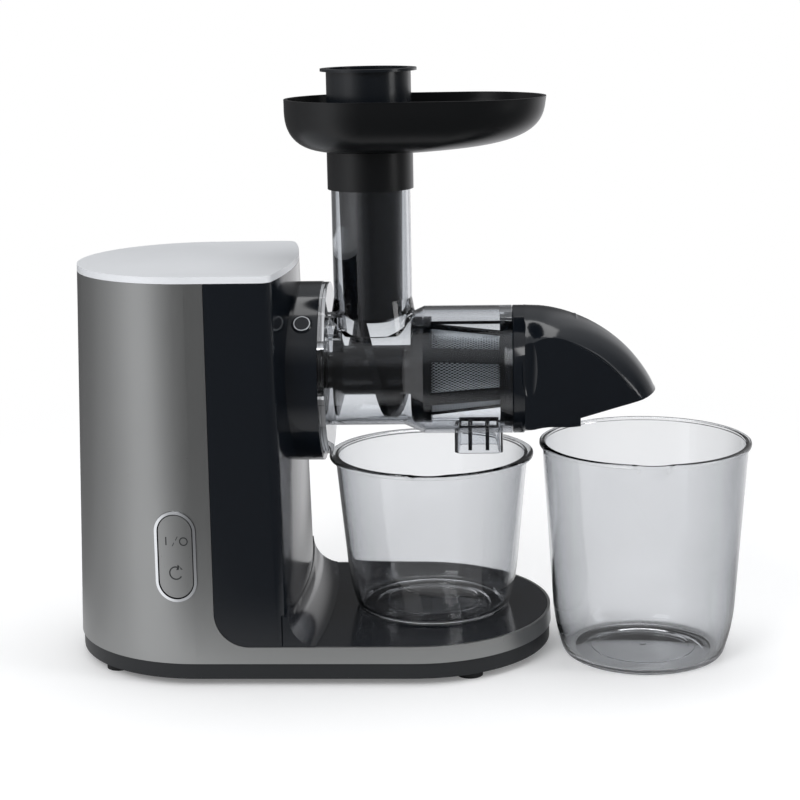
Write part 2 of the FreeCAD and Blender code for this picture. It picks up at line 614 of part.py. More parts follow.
case_long = "(%s - gear_bay)" % BAY_END
case_shell = cut("case_shell", gearbox_form("case_outer", "0", "gear_bay", case_long),
                 gearbox_form("case_inner", "case_wall", FIRST_X, case_long))
case_seat = cylinder("case_seat", "shaft_radius + bush_wall + 3", "bush_long", ("gear_bay", 0, "axis_z"),
                     ALONG_X)
case_bore = cylinder("case_bore", "shaft_radius + bush_wall", "bush_long + 2", ("gear_bay - 1", 0, "axis_z"),
                     ALONG_X)
case_axle = cylinder("case_axle", "gear_axle", "20", ("gear_bay - 1", 0, MIDDLE_Z), ALONG_X)
case_motor = cylinder("case_motor", "9", "20", ("gear_bay - 1", 0, MOTOR_Z), ALONG_X)
node("gearbox_case", cut("gearbox_cup", fuse("case_solid", case_shell, case_seat), case_bore, case_axle,
                         case_motor))
cover_plate = gearbox_form("cover_plate", "0", BAY_END, "case_plate")
cover_seat = cylinder("cover_seat", "shaft_radius + bush_wall + 3", "bush_long", (BAY_END, 0, "axis_z"),
                      ALONG_X)
cover_bore = cylinder("cover_bore", "shaft_radius + bush_wall", "bush_long + 2",
                      (BAY_END + " - 1", 0, "axis_z"),
                      ALONG_X)
cover_axle = cylinder("cover_axle", "gear_axle", "20", (BAY_END + " - 1", 0, MIDDLE_Z), ALONG_X)
node("gearbox_cover",
     cut("gearbox_lid", fuse("cover_solid", cover_plate, cover_seat), cover_bore, cover_axle))


def bush(name, start, bore, outer, length):
    return cut(name, cylinder(name + "_outer", outer, length, (start, 0, "axis_z"), ALONG_X),
               cylinder(name + "_inner", bore, "60", ("%s - 1" % start, 0, "axis_z"), ALONG_X))


BUSH_BORE = "shaft_radius + run_gap"
node("output_bushes", bush("rear_bush", "gear_bay", BUSH_BORE, "shaft_radius + bush_wall", "bush_long"),
     bush("front_bush", BAY_END, BUSH_BORE, "shaft_radius + bush_wall", "bush_long"))
node("shaft_seal", bush("seal", "(hub_face - 4)", BUSH_BORE, "shaft_hole", "3.8"))


# Motor: a can with its laminated stator, two end bearings, and a rotor with shaft, pinion and fan.

can_length = "gear_bay - motor_left"
can_tube = cut("can_tube",
               cylinder("can_outer", "motor_radius", can_length, ("motor_left", 0, MOTOR_Z), ALONG_X),
               cylinder("can_inner", "motor_radius - can_wall", can_length + " - 2 * can_wall",
                        ("motor_left + can_wall", 0, MOTOR_Z), ALONG_X),
               cylinder("can_bores", "motor_shaft + bush_wall", "100", ("motor_left - 5", 0, MOTOR_Z),
                        ALONG_X))
vents = [cylinder("can_vent_%d" % i, "vent_round", "3 * can_wall",
                  ("motor_left - can_wall", "vent_reach * cos(%d * 360deg / vent_count)" % i,
                   MOTOR_Z + " + vent_reach * sin(%d * 360deg / vent_count)" % i), ALONG_X)
         for i in range(int(s.vent_count))]
node("motor_can", cut("can", can_tube, *vents))
node("stator_core", cut("stator", cylinder("stator_outer", "motor_radius - can_wall", "rotor_long",
                                           ("rotor_left", 0, MOTOR_Z), ALONG_X),
                        cylinder("stator_hole", "stator_bore", "rotor_long + 2",
                                 ("rotor_left - 1", 0, MOTOR_Z),
                                 ALONG_X)))


def motor_bush(name, start):
    return cut(name, cylinder(name + "_outer", "motor_shaft + bush_wall", "4", (start, 0, MOTOR_Z), ALONG_X),
               cylinder(name + "_inner", "motor_shaft + run_gap", "10", ("%s - 1" % start, 0, MOTOR_Z),
                        ALONG_X))


node("motor_bearings", motor_bush("tail_bearing", "motor_left"), motor_bush("nose_bearing", "(gear_bay - 4)"))
motor_spindle = cylinder("motor_spindle", "motor_shaft",
                         "gear_bay + case_plate + gear_wide - motor_left + shaft_tail",
                         ("motor_left - shaft_tail", 0, MOTOR_Z), ALONG_X)
pinion_blank = cut("pinion_ring", motor_pinion, cylinder("pinion_bore", "motor_shaft", "30",
                                                         ("gear_bay", 0, MOTOR_Z), ALONG_X))
node("motor_shaft", motor_spindle)
node("motor_pinion", pinion_blank)
rotor_body = cut("rotor",
                 cylinder("rotor_drum", "rotor_radius", "rotor_long", ("rotor_left", 0, MOTOR_Z), ALONG_X),
                 cylinder("rotor_bore", "motor_shaft", "rotor_long + 2", ("rotor_left - 1", 0, MOTOR_Z),
                          ALONG_X))
node("rotor_core", rotor_body)


def fan_blades():
    """Flat blades, each turned a little across the air's way."""
    blades = []
    root = s.fan_hub_round - 3
    count = int(s.fan_blade_count)
    for index in range(count):
        blade = Part.makeBox(s.fan_blade_long, s.fan_blade_thick, s.fan_radius - root,
                             V(-s.fan_blade_long / 2, -s.fan_blade_thick / 2, root))
        blade.rotate(V(), V(0, 0, 1), s.fan_blade_turn)
        blade.rotate(V(), V(1, 0, 0), 360.0 * index / count)
        blade.translate(V(s.motor_left - s.fan_back, 0, motor_z))
        blades.append(blade)
    return blades[0].multiFuse(blades[1:])


fan_hub = cylinder("fan_hub", "fan_hub_round", "fan_back", ("motor_left - 1.5 * fan_back", 0, MOTOR_Z),
                   ALONG_X)
fan_bore = cylinder("fan_bore", "motor_shaft", "2 * fan_back", ("motor_left - 1.75 * fan_back", 0, MOTOR_Z),
                    ALONG_X)
node("cooling_fan", cut("fan", fuse("fan_solid", fan_hub, drawn("fan_blades", fan_blades())), fan_bore))


# Motor cradle: a block on the pan that follows the can, and the control board on posts above the can.

PAN_INSIDE = "foot_tall + pan_floor"
cradle_block = block("cradle_block", "cradle_long", "cradle_deep", MOTOR_Z + " - foot_tall - pan_floor - 14",
                     ("motor_left + cradle_in", 0, PAN_INSIDE))
cradle_bed = cylinder("cradle_bed", "motor_radius", "90", ("motor_left - 5", 0, MOTOR_Z), ALONG_X)
cradle_open = block("cradle_open", "cradle_long - 2 * cradle_wide", "cradle_deep + 10", MOTOR_Z,
                    ("motor_left + cradle_in + cradle_wide", 0, PAN_INSIDE + " + 4"))
node("motor_cradle", cut("cradle", cradle_block, cradle_bed, cradle_open))
POST_PLACES = [(x, y) for x in ("motor_left + cradle_in", "motor_left + board_long - cradle_in")
               for y in ("-post_spread / 2", "post_spread / 2")]
posts = [cylinder("board_post_%d" % i, "post_round", "board_gap + 8", (x, y, MOTOR_Z + " + motor_radius - 8"))
         for i, (x, y) in enumerate(POST_PLACES)]
post_trim = cylinder("post_trim", "motor_radius", "90", ("motor_left - 5", 0, MOTOR_Z), ALONG_X)
node("board_posts", *[cut("post_%d" % i, post, post_trim) for i, post in enumerate(posts)])
BOARD_Z = "(%s + motor_radius + board_gap)" % MOTOR_Z
board_plate = block("board_plate", "board_long", "board_deep", "board_thick", ("motor_left", 0, BOARD_Z))
coil_can = cylinder("board_coil", "7", "12", ("motor_left + 16", "-14", BOARD_Z + " + board_thick"))
relay = block("board_relay", "16", "12", "14", ("motor_left + 32", "12", BOARD_Z + " + board_thick"))
node("control_board", fuse("board", board_plate, coil_can, relay))


# Cord gland in the back wall.

gland_stem = cylinder("gland_stem", "gland_radius - 0.05", "9", ("gland_x", "half_depth - 10.4", "gland_z"),
                      ALONG_Y)
gland_nut = cylinder("gland_nut", "gland_flange", "3", ("gland_x", "half_depth - 13", "gland_z"), ALONG_Y)
gland_hole = cylinder("gland_hole", "cord_hole", "30", ("gland_x", "half_depth - 20", "gland_z"), ALONG_Y)
gland_trim = drawn("gland_trim", tapered(tower_wire, s.pan_top, cover_low, skin + wall).cut(
    Part.makeBox(400, s.half_depth * 2, 400, V(-50, -2 * s.half_depth, -50))))
gland_inner = common("gland_inner", gland_nut, gland_trim)
node("cord_gland", cut("gland", fuse("gland_solid", gland_stem, gland_inner), gland_hole))


# Juicing drum: one clear moulding with flange, barrel, strainer chamber, chute, spout and lock lug.

FLANGE_X = "(collar_end + part_gap)"
drum_shell_outer = turned("drum_outer", [
    ("hub_radius - 2.7", "hub_face + 0.5 - %s" % FLANGE_X),
    ("hub_radius - part_gap", "hub_face + 0.5 - %s" % FLANGE_X),
    ("hub_radius - part_gap", "0"), ("flange_radius", "0"), ("flange_radius", "flange_thick"),
    ("barrel_radius", "flange_thick"), ("barrel_radius", "barrel_end - %s" % FLANGE_X),
    ("drum_radius", "cone_end - %s" % FLANGE_X), ("drum_radius", "drum_end - %s" % FLANGE_X),
    ("rim_bore", "drum_end - %s" % FLANGE_X), ("rim_bore", "rim_start - %s" % FLANGE_X),
    ("drum_radius - drum_wall", "rim_start - %s" % FLANGE_X),
    ("drum_radius - drum_wall", "cone_end - %s" % FLANGE_X),
    ("barrel_radius - drum_wall", "barrel_end - %s" % FLANGE_X),
    ("barrel_radius - drum_wall", "flange_thick"),
    ("tail_hole", "flange_thick"), ("tail_hole", "0"), ("hub_radius - 2.7", "0"),
], (FLANGE_X, 0, "axis_z"), ALONG_X)
ear_disc = cylinder("ear_disc", "ear_radius", "flange_thick", (FLANGE_X, 0, "axis_z"), ALONG_X)
ear_zone = block("ear_zone", "flange_thick", "2 * ear_radius + 2", "ear_radius + 12",
                 (FLANGE_X, 0, "axis_z - 10"))
ear_bore = cylinder("ear_bore", "flange_radius - 4", "flange_thick + 2", (FLANGE_X + " - 1", 0, "axis_z"),
                    ALONG_X)
ear = cut("flange_ear", common("ear_form", ear_disc, ear_zone), ear_bore)
chute_outer = cylinder("chute_outer", "chute_radius", "chute_top - axis_z", ("chute_x", 0, "axis_z"))
chute_flare = cone("chute_flare", "flare_radius", "chute_radius", "flare_high - flare_low",
                   ("chute_x", 0, "flare_low"))
barrel_void = turned("barrel_void", [
    ("0", "flange_thick"), ("barrel_radius - drum_wall", "flange_thick"),
    ("barrel_radius - drum_wall", "barrel_end - %s" % FLANGE_X),
    ("drum_radius - drum_wall", "cone_end - %s" % FLANGE_X),
    ("drum_radius - drum_wall", "drum_end - %s" % FLANGE_X), ("0", "drum_end - %s" % FLANGE_X),
], (FLANGE_X, 0, "axis_z"), ALONG_X)
chute_bore = cylinder("chute_bore", "chute_radius - chute_wall", "chute_top - axis_z + 2",
                      ("chute_x", 0, "axis_z"))
chute_solid = cut("chute", fuse("chute_form", chute_outer, chute_flare), barrel_void)

SPOUT_TOP = "(axis_z - drum_radius + 5)"


def rounded_block(name, long, deep, tall, at, corner):
    """A block with rounded upright corners."""
    half_long = "(%s) / 2 - (%s)" % (long, corner)
    half_deep = "(%s) / 2 - (%s)" % (deep, corner)
    core = block(name + "_core", "2 * (%s)" % half_long, deep, tall,
                 ("%s - (%s)" % (at[0], half_long), at[1], at[2]))
    side = block(name + "_side", long, "2 * (%s)" % half_deep, tall,
                 ("%s - (%s) / 2" % (at[0], long), at[1], at[2]))
    posts = []
    for i in (-1, 1):
        for j in (-1, 1):
            spot = ("%s + (%d) * (%s)" % (at[0], i, half_long), "%s + (%d) * (%s)" % (at[1], j, half_deep),
                    at[2])
            posts.append(cylinder(name + "_post_%d%d" % (i, j), corner, tall, spot))
    return fuse(name, core, side, *posts)


spout_outer = cut("spout_shell",
                  rounded_block("spout_form", "spout_long", "spout_deep", SPOUT_TOP + " - spout_low + 12",
                                ("spout_x", 0, "spout_low"), "spout_corner"), barrel_void)
spout_bore = rounded_block("spout_bore", "spout_long - 2 * spout_wall", "spout_deep - 2 * spout_wall",
                           SPOUT_TOP + " - spout_low + 2", ("spout_x", 0, "spout_low - 1"),
                           "spout_corner - spout_wall")


def lug_frame():
    """A clear open frame on the flange's front, which the release button's latch holds."""
    low, high = s.lug_low, s.lug_high
    flange_face = s.collar_end + s.part_gap + s.flange_thick
    deep = 2.0
    angle_y = -math.sqrt(s.ear_radius ** 2 - high ** 2)
    frame = Part.makeBox(s.lug_long, deep + 8, high - low, V(flange_face - 0.5, angle_y, s.axis_z + low))
    slot = Part.makeBox(s.lug_long - s.lug_wall - 0.5 + 0.01, 40, high - low - 2 * s.lug_wall,
                        V(flange_face, angle_y - 10, s.axis_z + low + s.lug_wall))
    return frame.cut(slot)


drum_solid = fuse("drum_solid", drum_shell_outer, ear, chute_solid, spout_outer,
                  drawn("lock_lug", lug_frame()))
node("juicing_drum", cut("drum", drum_solid, chute_bore, spout_bore))


def grille_arch():
    """Two upright ribs and an arch that keep the outlet open inside the spout."""
    inner = s.drum_radius - s.drum_wall
    ring = collar_bar(inner - 0.1, s.spout_x - 11.8, s.spout_x + 11.8).cut(
        collar_bar(inner - 1.9, s.spout_x - 13, s.spout_x + 13))
    spout_half = s.spout_deep / 2 - s.spout_wall
    bottom = Part.makeBox(40, 2 * spout_half - 2, 20,
                          V(s.spout_x - 20, -spout_half + 1, s.axis_z - inner - 6))
    arch = ring.common(bottom)
    ribs = [Part.makeBox(2.2, 2 * spout_half - 0.5, s.axis_z - inner + 1.4 - s.spout_low - 1.5,
                         V(s.spout_x + side * 5.1 - 1.1, -spout_half + 0.25, s.spout_low + 1.5))
            for side in (-1, 1)]
    windows = [Part.makeBox(wide, 2 * spout_half - 6, 30, V(x, -spout_half + 3, s.axis_z - inner - 10))
               for x, wide in ((s.spout_x - 10.4, 4.0), (s.spout_x - 3.7, 7.4), (s.spout_x + 6.4, 4.0))]
    solid = arch.fuse(ribs[0]).fuse(ribs[1])
    for window in windows:
        solid = solid.cut(window)
    return solid


node("spout_grille", drawn("grille", grille_arch()))
node("drum_seal",
     bush("drum_ring", "(%s + 0.4)" % FLANGE_X, "tail_radius + run_gap", "tail_hole - 0.02", "2.6"))


# Auger: a twisted bar with one flight, shaped by a turned envelope, on a drive tail and a tip spigot.

def auger_section(x):
    half = math.radians(s.flight_turn) / 2
    turn = math.radians(s.auger_phase)
    core, top = s.auger_core - 3.0, s.auger_radius + 1.0

    def spot(radius, angle):
        return V(x, radius * math.cos(turn + angle), s.axis_z + radius * math.sin(turn + angle))

    edges = [
        Part.Arc(spot(top, -half), spot(top, 0), spot(top, half)).toShape(),
        Part.makeLine(spot(top, half), spot(core, half * 1.3)),
        Part.Arc(spot(core, half * 1.3), spot(core, math.pi), spot(core, -half * 1.3)).toShape(),
        Part.makeLine(spot(core, -half * 1.3), spot(top, -half)),
    ]
    return Part.Wire(edges)


def twisted_bar():
    length = s.auger_end - s.auger_start
    path = Part.Wire(Part.makeLine(V(s.auger_start, 0, s.axis_z), V(s.auger_end, 0, s.axis_z)))
    helix = Part.makeHelix(s.auger_pitch, length, s.auger_radius)
    helix.rotate(V(), V(0, 1, 0), 90)
    helix.translate(V(s.auger_start, 0, s.axis_z))
    sweep = Part.BRepOffsetAPI.MakePipeShell(path)
    sweep.setAuxiliarySpine(Part.Wire(helix.Edges), True, 0)
    sweep.add(auger_section(s.auger_start))
    sweep.build()
    sweep.makeSolid()
    return sweep.shape()


AUGER_LONG = "(auger_end - auger_start)"
auger_envelope = turned("auger_envelope", [
    ("0", "0"), ("auger_radius", "0"), ("auger_radius", "strainer_ring_x - 4 - auger_start"),
    ("auger_slim", "strainer_ring_x - auger_start"), ("auger_tip", AUGER_LONG), ("0", AUGER_LONG),
], ("auger_start", 0, "axis_z"), ALONG_X)
auger_flights = common("auger_flights", drawn("auger_twist", twisted_bar()), auger_envelope)
auger_core_bar = turned("auger_core_bar", [
    ("0", "collar_end + 1 - auger_start"), ("tail_radius", "collar_end + 1 - auger_start"),
    ("tail_radius", "-1"),
    ("auger_radius - 2", "-1"), ("auger_radius - 1", "0.5"), ("auger_core", "4"),
    ("auger_core", "barrel_end - auger_start"), ("auger_core + 1.5", AUGER_LONG),
    ("tip_radius + 2", AUGER_LONG + " + 2"), ("tip_radius", AUGER_LONG + " + 2"),
    ("tip_radius", AUGER_LONG + " + tip_long"), ("0", AUGER_LONG + " + tip_long"),
], ("auger_start", 0, "axis_z"), ALONG_X)
socket_points = [("(hex_across / 2 + 0.15) / cos(30deg) * cos(%d * 1deg)" % (60 * i),
                  "(hex_across / 2 + 0.15) / cos(30deg) * sin(%d * 1deg)" % (60 * i)) for i in range(6)]
auger_socket = padded("auger_socket", socket_points, "auger_start + 6.2 - collar_end",
                      ("collar_end", 0, "axis_z"),
                      ALONG_X)
node("auger", cut("auger_screw", fuse("auger_solid", auger_core_bar, auger_flights), auger_socket))


# Strainer: a black frame of two rings, ribs and a rail, with a steel mesh cone inside it.

RING_END = "(strainer_ring_x + strainer_ring_long)"
END_START = "(drum_end - strainer_end_long)"


def frame_cone(name, outer_shift, thick):
    """A cone band between the strainer's two rings."""
    long = "(%s - %s)" % (END_START, RING_END)
    return turned(name, [
        ("strainer_cone_big + (%s) - (%s)" % (outer_shift, thick), "0"),
        ("strainer_cone_big + (%s)" % outer_shift, "0"), ("strainer_cone_small + (%s)" % outer_shift, long),
        ("strainer_cone_small + (%s) - (%s)" % (outer_shift, thick), long),
    ], (RING_END, 0, "axis_z"), ALONG_X)


ring_left = turned("ring_left", [
    ("strainer_cone_big - strainer_wall", "0"), ("strainer_ring_radius - 1.5", "0"),
    ("strainer_ring_radius", "1.5"),
    ("strainer_ring_radius", "strainer_ring_long"),
    ("strainer_cone_big - strainer_wall", "strainer_ring_long"),
], ("strainer_ring_x", 0, "axis_z"), ALONG_X)
ring_right = turned("ring_right", [
    ("strainer_cone_small - strainer_wall", "0"), ("strainer_end_radius", "0"),
    ("strainer_end_radius", "strainer_end_long"),
    ("strainer_cone_small - strainer_wall", "strainer_end_long"),
], (END_START, 0, "axis_z"), ALONG_X)


def rib_cross():
    """Flat bars through the axis, one for each pair of ribs."""
    long = s.drum_end - s.strainer_ring_x
    bars = []
    for index in range(int(s.rib_count) // 2):
        bar = Part.makeBox(long, s.rib_wide, 2 * s.drum_radius,
                           V(s.strainer_ring_x, -s.rib_wide / 2, -s.drum_radius))
        bar.rotate(V(), V(1, 0, 0), 360.0 * index / s.rib_count)
        bar.translate(V(0, 0, s.axis_z))
        bars.append(bar)
    return bars[0].multiFuse(bars[1:])


strainer_ribs = common("strainer_ribs", frame_cone("rib_cone", "0", "strainer_wall"),
                       drawn("rib_bars", rib_cross()))
rail_bar = block("rail_bar", "%s - %s + 2" % (END_START, RING_END), "rail_wide", "1.6",
                 (RING_END + " - 1", 0, "axis_z + rail_radius - 1.6"))
node("strainer_frame", fuse("strainer", ring_left, ring_right, strainer_ribs, rail_bar))
mesh_long = "(%s - %s)" % (END_START, RING_END)
node("strainer_mesh", turned("mesh_cone", [
    ("strainer_cone_big - strainer_wall - mesh_thick - 0.02", "0"),
    ("strainer_cone_big - strainer_wall - 0.02", "0"),
    ("strainer_cone_small - strainer_wall - 0.02", mesh_long),
    ("strainer_cone_small - strainer_wall - mesh_thick - 0.02", mesh_long),
], (RING_END, 0, "axis_z"), ALONG_X))


# End cap: a ring on the drum's mouth, a round bowl below and a hooded beak that turns the pulp down.

# Places along the beak, as shares of its length, with the drop from its top to the crease, the share of the
# side's width that is left, and how far the lower edge lies under the axis.
HOOD_STEPS = [
    (0.00, 17.0, 1.00, 28.0), (0.12, 13.4, 1.00, 28.0), (0.26, 11.3, 1.00, 28.0), (0.41, 12.6, 1.00, 28.0),
    (0.56, 13.8, 1.00, 25.6), (0.71, 15.9, 1.00, 23.0), (0.84, 18.4, 1.00, 20.8), (0.915, 16.0, 0.91, 20.2),
    (0.965, 9.0, 0.68, 18.6), (0.995, 2.6, 0.34, 16.2),
]


def cap_side(x):
    """Half width of the flat sides, which close in towards the tip."""
    return s.drum_radius - s.side_lean * (x - s.drum_end)


def hood_section(step, inset, open_below):
    """One cross-section: a crowned top, side walls and a flat foot."""
    share, drop, width, under = step
    x = s.cap_ring_end + share * (s.beak_tip - s.cap_ring_end)
    side = cap_side(x) * width - inset
    ahead = x - s.cap_ring_end
    top = s.drum_radius - s.beak_arc + math.sqrt(s.beak_arc ** 2 - ahead ** 2) - inset
    crease = max(top - drop, -under + inset + 0.6)
    floor = -s.drum_radius - 4 if open_below else -under
    z = s.axis_z
    edges = [
        Part.Arc(V(x, -side, z + crease), V(x, 0, z + top), V(x, side, z + crease)).toShape(),
        Part.makeLine(V(x, side, z + crease), V(x, side, z + floor)),
        Part.makeLine(V(x, side, z + floor), V(x, -side, z + floor)),
        Part.makeLine(V(x, -side, z + floor), V(x, -side, z + crease)),
    ]
    return Part.Wire(edges)


def side_wedge():
    """The flat sides' plan, as a tall prism."""
    near, far = s.drum_end, s.beak_tip
    corners = [V(near, -cap_side(near), 0), V(far, -cap_side(far), 0), V(far, cap_side(far), 0),
               V(near, cap_side(near), 0)]
    return Part.Face(Part.makePolygon(corners + corners[:1])).extrude(V(0, 0, s.tower_top))


hood_outer = Part.makeLoft([hood_section(step, 0.0, False) for step in HOOD_STEPS], True, False)
hood_void = Part.makeLoft([hood_section(step, s.cap_wall, True) for step in HOOD_STEPS[:-1]], True, False)
beyond_bowl = Part.makeBox(200, 200, 400, V(s.bowl_end, -100, 0))
hood_void = hood_void.common(beyond_bowl)
cap_bowl = turned("cap_bowl", [
    ("0", "cap_ring_end - drum_end - 1"), ("drum_radius - 0.6", "cap_ring_end - drum_end - 1"),
    ("bowl_radius + 2", "(cap_ring_end + bowl_end) / 2 - drum_end"),
    ("bowl_radius", "bowl_end - drum_end - 1.5"),
    ("bowl_radius - 1.5", "bowl_end - drum_end"), ("0", "bowl_end - drum_end"),
], ("drum_end", 0, "axis_z"), ALONG_X)
cap_ring = turned("cap_ring", [
    ("0", "part_gap"), ("drum_radius - 0.5", "part_gap"), ("drum_radius", "part_gap + 0.5"),
    ("drum_radius", "cap_ring_end - drum_end"), ("0", "cap_ring_end - drum_end"),
], ("drum_end", 0, "axis_z"), ALONG_X)
cap_spigot = turned("cap_spigot", [
    ("rim_bore - part_gap - cap_spigot_wall", "-cap_spigot"), ("rim_bore - part_gap", "-cap_spigot"),
    ("rim_bore - part_gap", "part_gap + 2"), ("rim_bore - part_gap - cap_spigot_wall", "part_gap + 2"),
], ("drum_end", 0, "axis_z"), ALONG_X)
CHAMBER_END = "(bowl_end - cap_wall)"
cap_chamber = turned("cap_chamber", [
    ("0", "-1"), ("rim_bore - part_gap - cap_spigot_wall - 0.5", "-1"),
    ("rim_bore - part_gap - cap_spigot_wall - 0.5", "3"), ("bowl_radius - 4.6", CHAMBER_END + " - drum_end"),
    ("0", CHAMBER_END + " - drum_end"),
], ("drum_end", 0, "axis_z"), ALONG_X)
cap_mouth = cylinder("cap_mouth", "mouth_radius", "3 * cap_wall", (CHAMBER_END + " - cap_wall", 0, "axis_z"),
                     ALONG_X)
cap_outer = fuse("cap_outer", cap_ring, drawn("hood", hood_outer),
                 common("cap_lower", cap_bowl, drawn("side_wedge", side_wedge())))
cap_shell = cut("cap_shell", cap_outer, cap_chamber, cap_mouth, drawn("hood_void", hood_void))
web_disc = cylinder("web_disc", "rim_bore - part_gap - cap_spigot_wall - 0.2", "web_thick",
                    ("web_x", 0, "axis_z"),
                    ALONG_X)
web_bore = cylinder("web_bore", "tip_radius + run_gap", "30", ("web_x - 5", 0, "axis_z"), ALONG_X)
web_hub = cylinder("web_hub", "hub_outer", "web_thick + 3", ("web_x", 0, "axis_z"), ALONG_X)
web_windows = [cylinder("web_window_%d" % i, "web_window", "web_thick + 2",
                        ("web_x - 1", "web_window_reach * cos(%d * 1deg)" % (60 * i + 30),
                         "axis_z + web_window_reach * sin(%d * 1deg)" % (60 * i + 30)),
                         ALONG_X) for i in range(6)]
cap_web = cut("cap_web", fuse("web_solid", cut("web_plate", web_disc, *web_windows), web_hub), web_bore)
node("end_cap", fuse("cap", cap_shell, cap_spigot, cap_web))


# Hopper tray: an oval bowl with a throat, and a neck that slips over the chute.

def tray_wire(height, left, right, half, inset):
    """An oval of two half circles joined by straight sides."""
    left, right, half = left + inset, right - inset, half - inset
    z = height
    a, b = left + half, right - half
    edges = [
        Part.Arc(V(a, half, z), V(left, 0, z), V(a, -half, z)).toShape(),
        Part.makeLine(V(a, -half, z), V(b, -half, z)),
        Part.Arc(V(b, -half, z), V(right, 0, z), V(b, half, z)).toShape(),
        Part.makeLine(V(b, half, z), V(a, half, z)),
    ]
    return Part.Wire(edges)


TRAY_STEPS = [  # height below the rim, left end in, right end in, side in
    (0.0, 0.0, 0.0, 0.0), (10.0, 0.2, 2.0, 0.4), (18.0, 2.2, 8.0, 2.4), (24.5, 7.2, 22.0, 7.0),
    (28.2, 14.0, 44.0, 13.0), (29.6, 20.0, 60.0, 18.0),
]


def tray_solid(inset):
    wires = []
    for down, left, right, side in TRAY_STEPS:
        height = s.tray_rim - down + (inset if down else 0.0)
        wires.append(tray_wire(height, s.tray_left + left, s.tray_right - right, s.tray_half - side, inset))
    return Part.makeLoft(wires, True, False)


tray_bowl = drawn("tray_bowl", tray_solid(0).cut(tray_solid(s.tray_wall)))
tray_neck = cylinder("tray_neck", "neck_radius", "chute_top + 3 - neck_low", ("chute_x", 0, "neck_low"))
neck_bore = cylinder("neck_bore", "chute_radius + neck_gap", "chute_top + 0.1 - neck_low + 1",
                     ("chute_x", 0, "neck_low - 1"))
throat_bore = cylinder("throat_bore", "throat_radius", "40", ("chute_x", 0, "chute_top - 10"))
tray_above = cylinder("tray_above", "neck_radius + 1", "30", ("chute_x", 0, "chute_top + 2.6"))
node("hopper_tray", cut("tray", fuse("tray_form", tray_bowl, tray_neck), neck_bore, throat_bore, tray_above))


# Pusher: a hollow plunger with an open head that rests on the tray's floor.

HEAD_LOW = "(chute_top + 2.6 + part_gap)"
node("pusher", turned("pusher_turned", [
    ("0", "pusher_low"), ("pusher_shaft_low - 4", "pusher_low"), ("pusher_shaft_low", "pusher_low + 3"),
    ("pusher_shaft_top", "neck_low"), ("pusher_shaft_top", HEAD_LOW), ("pusher_head", HEAD_LOW),
    ("pusher_head", "pusher_top - flange_lip"), ("pusher_flange", "pusher_top - flange_lip"),
    ("pusher_flange", "pusher_top"), ("pusher_head - pusher_wall", "pusher_top"),
    ("pusher_head - pusher_wall", HEAD_LOW + " + pusher_wall"),
    ("pusher_shaft_top - pusher_wall", HEAD_LOW + " + pusher_wall"),
    ("pusher_shaft_low - pusher_wall", "pusher_low + 6"), ("0", "pusher_low + 6"),
], ("chute_x", 0, 0)))


# Cups: turned walls that curve in low down, a thin lip and a pouring dimple at the front.

# The lower wall's curve: shares of its height, and of how far it comes out from the foot.
FOOT_CURVE = [(0.035, 0.25), (0.24, 0.51), (0.56, 0.77), (1.0, 1.0)]


def cup(name, low, label):
    """One cup; its own sizes start with the label."""
    rim, wall_r, mid_r = label + "_rim", label + "_wall_r", label + "_mid_r"
    mid_up, foot_r, top = label + "_mid_up", label + "_foot_r", label + "_top"
    x, y = label + "_x", label + "_y"
    tall = "(%s - (%s))" % (top, low)
    spread = "(%s - %s)" % (mid_r, foot_r)
    outside = [("%s + %s * %s" % (foot_r, out, spread), "%s * %s" % (up, mid_up)) for up, out in FOOT_CURVE]
    inside = [("%s + %s * %s - cup_wall" % (foot_r, out, spread),
               "%s * %s + %s * cup_floor" % (up, mid_up, 1 - up))
              for up, out in reversed(FOOT_CURVE)]
    floor = [("%s - cup_wall" % foot_r, "cup_floor"), ("0", "cup_floor")]
    wall = turned(name + "_wall", [
        ("0", "foot_dish"), ("%s - 5" % foot_r, "foot_dish"), ("%s - 4" % foot_r, "0"), (foot_r, "0"),
    ] + outside + [
        (wall_r, tall + " - lip_tall"), ("%s - lip_edge" % rim, tall + " - lip_tall"),
        (rim, tall + " - lip_tall + lip_edge"), (rim, tall + " - lip_edge"), ("%s - lip_edge" % rim, tall),
        ("%s - cup_wall" % wall_r, tall),
    ] + inside + floor, (x, y, low))
    cavity = turned(name + "_cavity", [("%s - cup_wall" % wall_r, tall + " + 20"),
                                       ("%s - cup_wall" % wall_r, tall)] + inside + floor +
                    [("0", tall + " + 20")], (x, y, low))
    away = "%s - (%s - dimple_radius + dimple_out)" % (y, wall_r)
    centre = (x, away, "%s + dimple_up" % top)
    dimple_out = ball(name + "_dimple", "dimple_radius", centre)
    dimple_in = ball(name + "_dimple_inside", "dimple_radius - cup_wall", centre)
    slab = cylinder(name + "_slab", rim + " + 8", "40", (x, y, top + " - 40"))
    bulge = cut(name + "_bulge", common(name + "_bulge_form", dimple_out, slab), cavity)
    ring_at = (x, y, low + " + cup_floor - 0.1")
    ridge = cut(name + "_ridge",
                cylinder(name + "_ridge_out", "floor_ring_out", "floor_ring_tall + 0.1", ring_at),
                cylinder(name + "_ridge_in", "floor_ring_in", "floor_ring_tall + 1", ring_at))
    return cut(name, fuse(name + "_solid", wall, bulge, ridge), dimple_in)


node("juice_cup", cup("juice_cup_form", "deck_top + part_gap", "juice"))
node("pulp_cup", cup("pulp_cup_form", "0", "pulp"))


